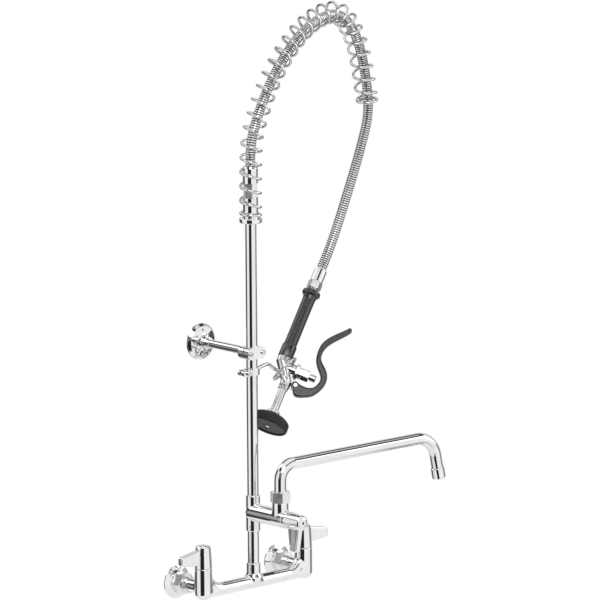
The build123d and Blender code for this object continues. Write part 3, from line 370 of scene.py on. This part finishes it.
def metal(name, dark, light, rough, waves, edge, grain=None):
    """Bright metal: faint waves from polishing, smudged roughness and softened edges.

    Waves are (size, depth), and grain is (size, depth, stretch).
    """
    nodes = Nodes(name)
    patches = nodes.noise(METAL_PATCH, detail=4.0)
    tone = nodes.shades(patches, (NOISE_LOW, dark), (NOISE_HIGH, light))
    nodes.join(tone, nodes.shader.inputs["Base Color"])
    smudge = nodes.spread(nodes.noise(METAL_SMUDGE, detail=5.0, roughness=0.6), *rough)
    nodes.join(smudge, nodes.shader.inputs["Roughness"])
    size, depth = waves
    normal = nodes.bump(nodes.noise(size, detail=2.0), depth, nodes.edges(edge))
    if grain:
        size, depth, stretch = grain
        normal = nodes.bump(nodes.noise(size, detail=2.0, stretch=stretch), depth, normal)
    nodes.join(normal, nodes.shader.inputs["Normal"])
    nodes.set(Metallic=1.0)
    return nodes.material


def moulded(name, dark, light, rough, grain, edge, gloss=0.28):
    """Moulded rubber or plastic with a fine grain of (size, depth)."""
    nodes = Nodes(name)
    mottle = nodes.noise(RUBBER_PATCH, detail=5.0, roughness=0.65)
    tone = nodes.shades(mottle, (NOISE_LOW, dark), (MOTTLE_HIGH, light))
    nodes.join(tone, nodes.shader.inputs["Base Color"])
    worn = nodes.spread(nodes.noise(RUBBER_WEAR, detail=4.0), *rough)
    nodes.join(worn, nodes.shader.inputs["Roughness"])
    size, depth = grain
    normal = nodes.bump(nodes.noise(size, detail=3.0), depth, nodes.edges(edge))
    nodes.join(normal, nodes.shader.inputs["Normal"])
    nodes.set(Metallic=0.0, Specular_IOR_Level=gloss)
    return nodes.material


CHROME = metal(
    "chrome", dark=(0.78, 0.79, 0.80), light=(0.86, 0.865, 0.87), rough=(0.02, 0.05),
    waves=(0.02, 0.00001), edge=0.0003,
)
CAST_CHROME = metal(
    "cast_chrome", dark=(0.78, 0.79, 0.80), light=(0.86, 0.865, 0.87), rough=(0.03, 0.07),
    waves=(0.016, 0.00002), edge=0.0006,
)
# Chrome darkened as painted shade, for the spray valve's parts
VALVE_CHROME_SHADED = metal(
    "valve_chrome_painted_shade", dark=(0.52, 0.53, 0.54), light=(0.66, 0.665, 0.67), rough=(0.04, 0.09),
    waves=(0.012, 0.00002), edge=0.0004,
)
NUT_CHROME = metal(
    "nut_chrome", dark=(0.74, 0.75, 0.76), light=(0.84, 0.845, 0.85), rough=(0.20, 0.28),
    waves=(0.014, 0.00002), edge=0.0005,
)
BARREL_CHROME = metal(
    "barrel_chrome", dark=(0.64, 0.65, 0.66), light=(0.74, 0.745, 0.75), rough=(0.15, 0.2),
    waves=(0.014, 0.00001), edge=0.0003,
)
STAINLESS = metal(
    "stainless", dark=(0.60, 0.60, 0.60), light=(0.70, 0.70, 0.695), rough=(0.16, 0.26),
    waves=(0.01, 0.00001), edge=0.0003, grain=(0.0007, 0.000006, (1, 1, 6)),
)
BRASS = metal(
    "brass", dark=(0.60, 0.42, 0.18), light=(0.72, 0.54, 0.26), rough=(0.2, 0.34),
    waves=(0.01, 0.00001), edge=0.0003, grain=(0.0008, 0.00001, (1, 1, 1)),
)
HOSE_STEEL = metal(
    "hose_steel", dark=(0.80, 0.80, 0.80), light=(0.88, 0.88, 0.875), rough=(0.14, 0.24),
    waves=(0.008, 0.00001), edge=0.0001,
)
# Near-black steel: painted shade for the creases between the hose's ribs
HOSE_GROOVE_SHADE = metal(
    "hose_groove_painted_shade", dark=(0.10, 0.10, 0.10), light=(0.18, 0.18, 0.178), rough=(0.3, 0.42),
    waves=(0.008, 0.00001), edge=0.0001,
)
SPRING_STEEL = metal(
    "spring_steel", dark=(0.68, 0.69, 0.70), light=(0.78, 0.79, 0.795), rough=(0.05, 0.11),
    waves=(0.01, 0.00001), edge=0.0001,
)
INDEX_CAP = metal(
    "index_cap", dark=(0.76, 0.77, 0.78), light=(0.84, 0.85, 0.855), rough=(0.05, 0.1),
    waves=(0.01, 0.00001), edge=0.0002,
)
GRIP_BLACK = moulded(
    "grip_black", dark=(0.006, 0.006, 0.007), light=(0.011, 0.011, 0.012), rough=(0.17, 0.25),
    grain=(0.0006, 0.00001), edge=0.0004, gloss=1.0,
)
LEVER_BLACK = moulded(
    "lever_black", dark=(0.006, 0.006, 0.007), light=(0.012, 0.012, 0.013), rough=(0.16, 0.24),
    grain=(0.0018, 0.00003), edge=0.0006, gloss=1.0,
)
BUMPER_RUBBER = moulded(
    "bumper_rubber", dark=(0.014, 0.014, 0.015), light=(0.024, 0.024, 0.025), rough=(0.46, 0.62),
    grain=(0.0005, 0.00004), edge=0.0004,
)
FACE_BLACK = moulded(
    "face_black", dark=(0.016, 0.016, 0.017), light=(0.028, 0.028, 0.030), rough=(0.36, 0.5),
    grain=(0.0006, 0.00003), edge=0.0003,
)
SEAL_RUBBER = moulded(
    "seal_rubber", dark=(0.018, 0.018, 0.018), light=(0.034, 0.034, 0.034), rough=(0.5, 0.7),
    grain=(0.0006, 0.00004), edge=0.0002,
)
MATERIALS = {
    "chrome": CHROME,
    "stainless": STAINLESS,
    "brass": BRASS,
    "index_cap": INDEX_CAP,
    "hose_steel": HOSE_STEEL,
    "spring_steel": SPRING_STEEL,
    "grip_black": GRIP_BLACK,
    "lever_black": LEVER_BLACK,
    "bumper_rubber": BUMPER_RUBBER,
    "face_black": FACE_BLACK,
    "seal_rubber": SEAL_RUBBER,
}
# Nodes whose finish differs from the rest of their slot; the valve's darker chrome is painted
# shade
NODE_MATERIALS = {
    "valve_bonnet": VALVE_CHROME_SHADED,
    "plunger": VALVE_CHROME_SHADED,
    "lever_screw": VALVE_CHROME_SHADED,
    "barrel": BARREL_CHROME,
    "spout_nut": NUT_CHROME,
    "hose_coupling": NUT_CHROME,
    "hose_nut": NUT_CHROME,
    "bracket_nut": NUT_CHROME,
    "coupling_nuts": NUT_CHROME,
}
node_slot = {row["node"]: row["material_slot"] for row in frame["record"]["subparts"]}
for name, node in frame["nodes"].items():
    material = NODE_MATERIALS.get(name, MATERIALS[node_slot[name]])
    for slot in node.material_slots:
        slot.material = material

# Hose: a ribbed metal tube on the route's spline, with painted shade in its grooves
HOSE_RIBS = 216
HOSE_SIDES = 28
HOSE_END = 0.9  # the hose's last ring, as a share of its radius
# One rib as (share of its pitch, share of the hose's radius)
RIB_SHAPE = ((0.0, 0.87), (0.13, 0.95), (0.28, 1.0), (0.58, 1.0), (0.73, 0.95), (0.86, 0.87))
# The spans listed here carry the painted shade of the grooves
PAINTED_SHADE_SPANS = (0, 4, 5)  # of the spans between those, the ones down in the groove
hose_walk = Walk(route_line(HOSE_ROUTE))
rib_pitch = hose_walk.length / HOSE_RIBS
rib_marks = [
    ((rib + share) * rib_pitch, HOSE_DIAMETER / 2 * size)
    for rib in range(HOSE_RIBS)
    for share, size in RIB_SHAPE
]
rib_marks.append((hose_walk.length, HOSE_DIAMETER / 2 * HOSE_END))
hose_places = [hose_walk.at(mark) for mark, _ in rib_marks]
hose_ways = [hose_walk.way(mark) for mark, _ in rib_marks]
hose_rings = sweep_rings(
    hose_places, hose_ways, [radius for _, radius in rib_marks], HOSE_SIDES, ARCH_NORMAL
)
ribbed_hose = piece("ribbed_hose", *rings_to_mesh(hose_rings), HOSE_STEEL, "hose_steel")
# Faces down in the grooves take the painted shade
ribbed_hose.data.materials.append(HOSE_GROOVE_SHADE)
for face in ribbed_hose.data.polygons:
    if face.index // HOSE_SIDES % len(RIB_SHAPE) in PAINTED_SHADE_SPANS:
        face.material_index = 1
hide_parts("hose")

# Overhead spring: one left-handed coil of round wire, closed at both ends
SPRING_TURNS = 28
SPRING_RADIUS = 0.01525
WIRE_RADIUS = 0.0021
CLOSED_PITCH = 0.0048
COIL_STEPS = 44
WIRE_SIDES = 14
WIRE_END = 0.55  # the wire's ground ends, as a share of its radius
spring_walk = Walk(route_line(SPRING_ROUTE))
open_pitch = (spring_walk.length - 2 * CLOSED_PITCH) / (SPRING_TURNS - 2)


def coil_point(turns):
    """The wire's centre after a number of turns."""
    advance = CLOSED_PITCH * min(turns, 1)
    advance += open_pitch * min(max(turns - 1, 0), SPRING_TURNS - 2)
    advance += CLOSED_PITCH * max(turns - SPRING_TURNS + 1, 0)
    ahead = spring_walk.way(advance)
    inward = ARCH_NORMAL.cross(ahead)
    angle = 2 * math.pi * turns
    around = ARCH_NORMAL * math.cos(angle) + inward * math.sin(angle)
    return spring_walk.at(advance) + around * SPRING_RADIUS


coil = [coil_point(step / COIL_STEPS) for step in range(SPRING_TURNS * COIL_STEPS + 1)]
coil_walk = Walk(coil)
coil_ways = [coil_walk.way(mark) for mark in coil_walk.marks]
wire_end = [WIRE_RADIUS * WIRE_END]
wire_radii = wire_end + [WIRE_RADIUS] * (len(coil) - 2) + wire_end
overhead_coil = piece(
    "overhead_coil",
    *rings_to_mesh(sweep_rings(coil, coil_ways, wire_radii, WIRE_SIDES)),
    SPRING_STEEL,
    "spring_steel",
)
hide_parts("overhead_spring")

# Hand spray's own directions: down its axis, out towards the lever, and across
SPRAY_TOP = HOSE_ROUTE[-1]
SPRAY_DOWN = (HOSE_ROUTE[-1] - HOSE_ROUTE[-2]).normalized()
SPRAY_HEADING = math.radians(-34.7)
spray_out = Vector((math.cos(SPRAY_HEADING), math.sin(SPRAY_HEADING), 0))
SPRAY_OUT = (spray_out - SPRAY_DOWN * spray_out.dot(SPRAY_DOWN)).normalized()
SPRAY_ASIDE = SPRAY_DOWN.cross(SPRAY_OUT)
OUTLET_SHIFT = 0.015
grip_seat = (SPRAY_TOP, SPRAY_DOWN, SPRAY_OUT, SPRAY_ASIDE)
outlet_seat = (SPRAY_TOP + SPRAY_OUT * OUTLET_SHIFT, SPRAY_DOWN, SPRAY_OUT, SPRAY_ASIDE)

# Grip: a collar ring, a smooth handle with moulded end bands, and an eight-sided sleeve
COLLAR_START = 0.0365
GRIP_START = 0.045
GRIP_END = 0.129
SLEEVE_END = 0.151
GRIP_BORE = 0.00615
COLLAR_RADIUS = 0.0140
COLLAR_SHOULDER = 0.0118
COLLAR_SLOPE = 0.0018
collar_profile = rounded(
    [
        (GRIP_BORE, COLLAR_START, 0),
        (COLLAR_SHOULDER, COLLAR_START, 0.0016),
        (COLLAR_RADIUS, COLLAR_START + COLLAR_SLOPE, 0.0022),
        (COLLAR_RADIUS, GRIP_START - COLLAR_SLOPE, 0.0022),
        (COLLAR_SHOULDER, GRIP_START, 0.0016),
        (GRIP_BORE, GRIP_START, 0),
    ]
)
grip_collar_ring = piece(
    "grip_collar_ring",
    *rings_to_mesh(lathe(grip_seat, collar_profile), closed_along=True),
    GRIP_BLACK,
    "grip_black",
)
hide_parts("grip_collar")

GRIP_WAIST = 0.00965  # radius in the middle of the grip's length
GRIP_FOOT = 0.00975
WAIST_IN = 0.030  # the grip's ends to its waist
handle_profile = rounded(
    [
        (GRIP_BORE, GRIP_START, 0),
        (0.0106, GRIP_START, 0.0008),
        (0.0105, GRIP_START + 0.0022, 0.0015),
        (0.0098, GRIP_START + 0.0060, 0.0030),
        (GRIP_WAIST, GRIP_START + WAIST_IN, 0.02),
        (GRIP_WAIST, GRIP_END - WAIST_IN, 0.02),
        (GRIP_FOOT, GRIP_END - 0.002, 0.0012),
        (GRIP_FOOT, GRIP_END, 0.0004),
        (GRIP_BORE, GRIP_END, 0),
    ]
)
grip_handle = piece(
    "grip_handle",
    *rings_to_mesh(lathe(grip_seat, handle_profile), closed_along=True),
    GRIP_BLACK,
    "grip_black",
)
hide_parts("grip")

SLEEVE_FLATS = 8
SLEEVE_SIDES = 128
CORNER_BLEND = 10.0  # how sharply a flat turns into a corner
CORNER_FULL = 1.012  # makes up for what that blend takes off


def facetted(seat, sections):
    """Rings of a bar with flat sides and rounded corners.

    Sections are (axis to a flat, axis to a corner, height), and those with 0 for the corner
    are round.
    """
    origin, along, out, aside = seat
    half_flat = math.pi / SLEEVE_FLATS
    rings = []
    for across, corner, height in sections:
        ring = []
        for step in range(SLEEVE_SIDES):
            turn = 2 * math.pi * step / SLEEVE_SIDES
            off = (turn + half_flat) % (2 * half_flat) - half_flat
            flat = across / math.cos(off)
            if corner:
                blended = (flat**-CORNER_BLEND + corner**-CORNER_BLEND) ** (-1 / CORNER_BLEND)
                radius = min(blended * CORNER_FULL, flat, corner)
            else:
                radius = across
            ring.append(
                origin
                + along * height
                + (out * math.cos(turn) + aside * math.sin(turn)) * radius
            )
        rings.append(ring)
    return rings


SLEEVE_FLAT = 0.0117
SLEEVE_CORNER = 0.0124
sleeve_sections = [
    (GRIP_BORE, 0, GRIP_END),
    (0.0101, 0.0104, GRIP_END),
    (0.0107, 0.0111, GRIP_END + 0.0008),
    (0.0114, 0.0120, GRIP_END + 0.0022),
    (SLEEVE_FLAT, SLEEVE_CORNER, GRIP_END + 0.0040),
    (SLEEVE_FLAT, SLEEVE_CORNER, SLEEVE_END - 0.0012),
    (0.0115, 0.0121, SLEEVE_END - 0.0004),
    (0.0112, 0.0117, SLEEVE_END),
    (GRIP_BORE, 0, SLEEVE_END),
]
grip_sleeve_cap = piece(
    "grip_sleeve_cap",
    *rings_to_mesh(facetted(grip_seat, sleeve_sections), closed_along=True),
    GRIP_BLACK,
    "grip_black",
)
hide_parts("grip_sleeve")

# Rubber bumper round the spray face, with a bead and a groove on its rim
BUMPER_START = 0.240
BUMPER_RADIUS = 0.0300
BUMPER_BORE = 0.00615
BUMPER_LIP = 0.02615  # radius of the pocket that holds the spray face
BUMPER_POCKET = 0.0220
BUMPER_SIDES = 144
bumper_profile = rounded(
    [
        (BUMPER_BORE, BUMPER_START, 0),
        (0.0120, BUMPER_START + 0.0008, 0.002),
        (0.0240, BUMPER_START + 0.0058, 0.004),
        (0.0292, BUMPER_START + 0.0098, 0.003),
        (BUMPER_RADIUS, BUMPER_START + 0.0125, 0.001),
        (BUMPER_RADIUS, BUMPER_START + 0.0158, 0.0004),
        (0.0296, BUMPER_START + 0.0163, 0.0003),
        (BUMPER_RADIUS, BUMPER_START + 0.0168, 0.0004),
        (BUMPER_RADIUS, BUMPER_START + 0.0212, 0.0016),
        (0.0284, BUMPER_START + 0.0230, 0.0012),
        (0.0270, BUMPER_START + 0.0230, 0.0008),
        (BUMPER_LIP, BUMPER_START + 0.0216, 0.0004),
        (BUMPER_LIP, BUMPER_START + 0.0180, 0),
        (BUMPER_POCKET, BUMPER_START + 0.0180, 0),
        (BUMPER_POCKET, BUMPER_START + 0.0140, 0),
        (BUMPER_BORE, BUMPER_START + 0.0140, 0),
    ]
)
bumper_ring = piece(
    "bumper_ring",
    *rings_to_mesh(lathe(outlet_seat, bumper_profile, BUMPER_SIDES), closed_along=True),
    BUMPER_RUBBER,
    "bumper_rubber",
)
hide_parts("bumper")

# Castings and the dipped lever: each solid's own shape, its edges and inner corners melted round
MELT_FACTOR = 0.5  # how far one pass moves a vertex towards its neighbours' middle


def melted(name, node_name, material, *, voxel, passes, body="faucet", added=()):
    """A piece with a node's shape, joined to added shapes, remeshed finely and smoothed."""
    source = frame["nodes"][node_name]
    build = bmesh.new()
    build.from_mesh(source.data)
    build.transform(source.matrix_world)
    for vertices, faces in added:
        made = [build.verts.new(vertex) for vertex in vertices]
        for face in faces:
            build.faces.new([made[index] for index in face])
    whole = bpy.data.meshes.new("whole")
    build.to_mesh(whole)
    build.free()
    rough = bpy.data.objects.new("rough", whole)
    scene.collection.objects.link(rough)
    remesh = rough.modifiers.new("remesh", "REMESH")
    remesh.mode = "VOXEL"
    remesh.voxel_size = voxel
    smooth = rough.modifiers.new("smooth", "SMOOTH")
    smooth.factor = MELT_FACTOR
    smooth.iterations = passes
    depsgraph = bpy.context.evaluated_depsgraph_get()
    mesh = bpy.data.meshes.new_from_object(rough.evaluated_get(depsgraph))
    bpy.data.objects.remove(rough)
    bpy.data.meshes.remove(whole)
    mesh.name = name
    mesh.materials.clear()
    mesh.materials.append(material)
    mesh.polygons.foreach_set("use_smooth", [True] * len(mesh.polygons))
    cast = bpy.data.objects.new(name, mesh)
    scene.collection.objects.link(cast)
    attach(cast, body)
    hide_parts(node_name)


BODY_Y = -0.060
INLET_X = 0.1016
CROSS_Z = -0.0065
CROSS_RADIUS = 0.0099
CROSS_STRAIGHT = 0.050  # middle of the body out to where the solid's cross tube starts to bend
CROSS_SIDES = 64
east, north, up = Vector((1, 0, 0)), Vector((0, 1, 0)), Vector((0, 0, 1))
cross_middle = Vector((0, BODY_Y, CROSS_Z))
cross_profile = [(CROSS_RADIUS, CROSS_STRAIGHT), (CROSS_RADIUS, INLET_X)]
cross_ends = [
    rings_to_mesh(lathe((cross_middle, east * side, north, up * side), cross_profile, CROSS_SIDES))
    for side in (-1, 1)
]
melted(
    "cast_body", "faucet_body", CAST_CHROME, voxel=0.0008, passes=14, added=cross_ends
)
melted("cast_tee", "add_on_tee", CAST_CHROME, voxel=0.0007, passes=8)

# Back wall of the spray valve's slanted waist, which closes the valve's chamber
WAIST_START = 0.160
WAIST_END = 0.186
WAIST_RADII = (0.0108, 0.0081)  # at its start and at its end
WALL_THICKNESS = 0.0013
WALL_HALF_SPAN = math.radians(75)
WALL_DOWN = 0.62  # share of the waist's length that the wall runs down
WALL_STEPS = 24  # round the wall's arc
WALL_ROWS = 12
wall_turns = [WALL_HALF_SPAN * (2 * step / WALL_STEPS - 1) for step in range(WALL_STEPS + 1)]
wall_ways = [SPRAY_ASIDE * math.sin(turn) - SPRAY_OUT * math.cos(turn) for turn in wall_turns]
wall_rings = []
for row in range(WALL_ROWS + 1):
    share = WALL_DOWN * row / WALL_ROWS
    down = WAIST_START + (WAIST_END - WAIST_START) * share
    centre = SPRAY_TOP + SPRAY_DOWN * down + SPRAY_OUT * OUTLET_SHIFT * share
    radius = WAIST_RADII[0] + (WAIST_RADII[1] - WAIST_RADII[0]) * share
    outer = [centre + way * radius for way in wall_ways]
    inner = [centre + way * (radius - WALL_THICKNESS) for way in reversed(wall_ways)]
    wall_rings.append(outer + inner)

# Core that thickens the walls beside the outlet's passage
CORE_RADIUS = 0.0047
CORE_START = 0.1715
CORE_END = 0.187
CORE_SIDES = 48
core_profile = [(CORE_RADIUS, CORE_START), (CORE_RADIUS, CORE_END)]
core_rings = lathe(outlet_seat, core_profile, CORE_SIDES)
# The spray valve's casting takes the darker chrome, painted shade
melted(
    "cast_valve", "valve_body", VALVE_CHROME_SHADED, voxel=0.0004, passes=6,
    added=[rings_to_mesh(wall_rings), rings_to_mesh(core_rings)],
)
melted(
    "squeeze_lever_bar", "lever", LEVER_BLACK, voxel=0.0005, passes=5,
    body="squeeze_lever",
)

# Dark marks in the middle of the index caps
BOSS_TOP = 0.0305
ADD_ON_SEAT_Y = -0.135
ADD_ON_ARM_Z = 0.100
DOT_RADIUS = 0.0019
DOT_FOOT = 0.0342  # a valve's seat to the mark's foot
DOT_EDGE = 0.0003
DOT_CROWN = 0.7  # the mark's top, as a share of its radius
DOT_SIDES = 32
VALVE_SEATS = {
    "hot_valve": (Vector((-INLET_X, BODY_Y, BOSS_TOP)), up, east, north),
    "cold_valve": (Vector((INLET_X, BODY_Y, BOSS_TOP)), up, east, north),
    "add_on_valve": (Vector((0, ADD_ON_SEAT_Y, ADD_ON_ARM_Z)), -north, east, up),
}
dot_profile = [
    (DOT_RADIUS, DOT_FOOT),
    (DOT_RADIUS, DOT_FOOT + DOT_EDGE),
    (DOT_RADIUS * DOT_CROWN, DOT_FOOT + 2 * DOT_EDGE),
]
for body, seat in VALVE_SEATS.items():
    dot = rings_to_mesh(lathe(seat, dot_profile, DOT_SIDES))
    piece(body + "_mark", *dot, FACE_BLACK, "face_black", body)


# Node trees of the floor and the world
def joined(tree, kind, *sources, **settings):
    """A new node of a tree, whose first inputs come from these outputs."""
    node = tree.nodes.new(kind)
    for key, value in settings.items():
        setattr(node, key, value)
    for socket, source in zip(node.inputs, sources):
        if source is not None:
            tree.links.new(source, socket)
    return node


def either(tree, first, second):
    """One for rays of either kind."""
    node = joined(tree, "ShaderNodeMath", first, second, operation="ADD", use_clamp=True)
    return node.outputs["Value"]


# Floor: a pale disc well below the faucet, which hangs on its wall
FLOOR_DROP = 0.16
FLOOR_RADIUS = 0.42
FLOOR_CENTRE = (0.08, -0.06)
FLOOR_SIDES = 96
FLOOR_GREY = 0.92
FLOOR_MATT = 0.4  # share of the floor that the lamps light; the rest is plain white
floor_z = cad_box[0][2] - FLOOR_DROP
floor_turns = [2 * math.pi * step / FLOOR_SIDES for step in range(FLOOR_SIDES)]
floor_ring = [
    (
        FLOOR_CENTRE[0] + FLOOR_RADIUS * math.cos(turn),
        FLOOR_CENTRE[1] + FLOOR_RADIUS * math.sin(turn),
        floor_z,
    )
    for turn in floor_turns
]
floor_mesh = bpy.data.meshes.new("floor")
floor_mesh.from_pydata(floor_ring, [], [tuple(range(FLOOR_SIDES))])
floor = bpy.data.objects.new("floor", floor_mesh)
scene.collection.objects.link(floor)

floor_material = bpy.data.materials.new("floor")
floor_material.use_nodes = True
tree = floor_material.node_tree
tree.nodes.clear()
rays = joined(tree, "ShaderNodeLightPath").outputs
seen = either(tree, rays["Is Camera Ray"], rays["Is Glossy Ray"])
seen = either(tree, seen, rays["Is Transmission Ray"])
glow = joined(tree, "ShaderNodeEmission")
glow.inputs["Strength"].default_value = 1.0
matt = joined(tree, "ShaderNodeBsdfDiffuse")
matt.inputs["Color"].default_value = (FLOOR_GREY, FLOOR_GREY, FLOOR_GREY, 1)
both = joined(tree, "ShaderNodeMixShader", None, glow.outputs["Emission"], matt.outputs["BSDF"])
both.inputs["Fac"].default_value = FLOOR_MATT
chosen = joined(tree, "ShaderNodeMixShader", seen, matt.outputs["BSDF"], both.outputs["Shader"])
joined(tree, "ShaderNodeOutputMaterial", chosen.outputs["Shader"])
floor_mesh.materials.append(floor_material)

# World: white to the camera, plain soft light on the object, and a studio of pale and dark panels
# for metal to mirror. Bearings are degrees to the right of the photograph's viewpoint, and heights
# are sines of the elevation.
LOW_PANELS = (
    (-180, 0.55),
    (-140, 0.48),
    (-126, 0.06),
    (-96, 0.05),
    (-89, 0.95),
    (-42, 1.0),
    (-37, 0.02),
    (12, 0.02),
    (15, 1.0),
    (92, 1.0),
    (100, 0.34),
    (128, 0.22),
    (145, 0.48),
    (180, 0.55),
)
HIGH_PANELS = (
    (-180, 0.80),
    (-138, 0.60),
    (-126, 0.06),
    (-96, 0.05),
    (-88, 0.95),
    (-42, 1.0),
    (-36, 0.20),
    (10, 0.20),
    (15, 1.0),
    (92, 1.0),
    (106, 0.48),
    (135, 0.60),
    (180, 0.80),
)
ROOF = ((0.54, 0.80), (0.63, 0.08), (0.76, 0.04), (0.82, 1.0))  # (height, grey)
GROUND = 0.46
HIGH_START = (-0.05, 0.15)
ROOF_START = (0.48, 0.58)
GROUND_START = (-0.64, -0.74)
WORLD_LIGHT = 0.75
world = bpy.data.worlds.new("studio")
scene.world = world
world.use_nodes = True
sky = world.node_tree
sky.nodes.clear()
MIX_FIRST, MIX_SECOND, MIX_RESULT = 6, 7, 2  # the colour sockets of a mix node


def sky_range(value, start, end):
    """Nought before the start and one past the end."""
    node = joined(sky, "ShaderNodeMapRange", value)
    node.inputs["From Min"].default_value = start
    node.inputs["From Max"].default_value = end
    return node.outputs["Result"]


def sky_ramp(value, stops):
    """Grey by value, from (value, grey) stops."""
    ramp = joined(sky, "ShaderNodeValToRGB", value)
    set_stops(ramp, [(at, (grey, grey, grey)) for at, grey in stops])
    return ramp.outputs["Color"]


def sky_mix(share, first, second):
    """The first colour where the share is nought and the second where it is one."""
    mix = joined(sky, "ShaderNodeMix", data_type="RGBA")
    sky.links.new(share, mix.inputs["Factor"])
    sky.links.new(first, mix.inputs[MIX_FIRST])
    sky.links.new(second, mix.inputs[MIX_SECOND])
    return mix.outputs[MIX_RESULT]


def by_bearing(panels):
    """Grey by bearing, from (bearing, grey) panels."""
    return sky_ramp(compass_share, [((bearing + 180) / 360, grey) for bearing, grey in panels])


place = joined(sky, "ShaderNodeTexCoord").outputs["Generated"]
turned = joined(sky, "ShaderNodeMapping", place)
turned.inputs["Rotation"].default_value = (0, 0, -math.atan2(toward.y, toward.x))
split = joined(sky, "ShaderNodeSeparateXYZ", turned.outputs["Vector"]).outputs
compass = joined(sky, "ShaderNodeMath", split["Y"], split["X"], operation="ARCTAN2")
compass_share = sky_range(compass.outputs["Value"], -math.pi, math.pi)
height = split["Z"]
sides = sky_mix(sky_range(height, *HIGH_START), by_bearing(LOW_PANELS), by_bearing(HIGH_PANELS))
upper = sky_mix(sky_range(height, *ROOF_START), sides, sky_ramp(height, ROOF))
ground = sky_ramp(height, ((0.0, GROUND), (1.0, GROUND)))
studio = sky_mix(sky_range(height, *GROUND_START), upper, ground)
mirrored = joined(sky, "ShaderNodeBackground", studio).outputs["Background"]
plain = joined(sky, "ShaderNodeBackground")
plain.inputs["Color"].default_value = (1, 1, 1, 1)
plain.inputs["Strength"].default_value = WORLD_LIGHT
white = joined(sky, "ShaderNodeBackground")
white.inputs["Color"].default_value = (1, 1, 1, 1)
rays = joined(sky, "ShaderNodeLightPath").outputs
mirror_ray = either(sky, rays["Is Glossy Ray"], rays["Is Transmission Ray"])
by_gloss = joined(sky, "ShaderNodeMixShader", mirror_ray, plain.outputs["Background"], mirrored)
by_eye = joined(
    sky,
    "ShaderNodeMixShader",
    rays["Is Camera Ray"],
    by_gloss.outputs["Shader"],
    white.outputs["Background"],
)
joined(sky, "ShaderNodeOutputWorld", by_eye.outputs["Shader"])

# Soft lamps: (name, place, size, power)
LAMPS = (
    ("key", (-1.6, -2.2, 2.2), 1.6, 26),
    ("fill", (2.4, -1.6, 1.2), 1.8, 12),
    ("back", (-0.8, 1.8, 2.0), 1.4, 8),
)
for name, spot, size, power in LAMPS:
    light = bpy.data.lights.new(name, "AREA")
    light.size = size
    light.energy = power
    lamp = bpy.data.objects.new(name, light)
    lamp.location = spot
    lamp.rotation_mode = "QUATERNION"
    lamp.rotation_quaternion = (aim - Vector(spot)).to_track_quat("-Z", "Y")
    scene.collection.objects.link(lamp)

scene.view_settings.view_transform = "Standard"
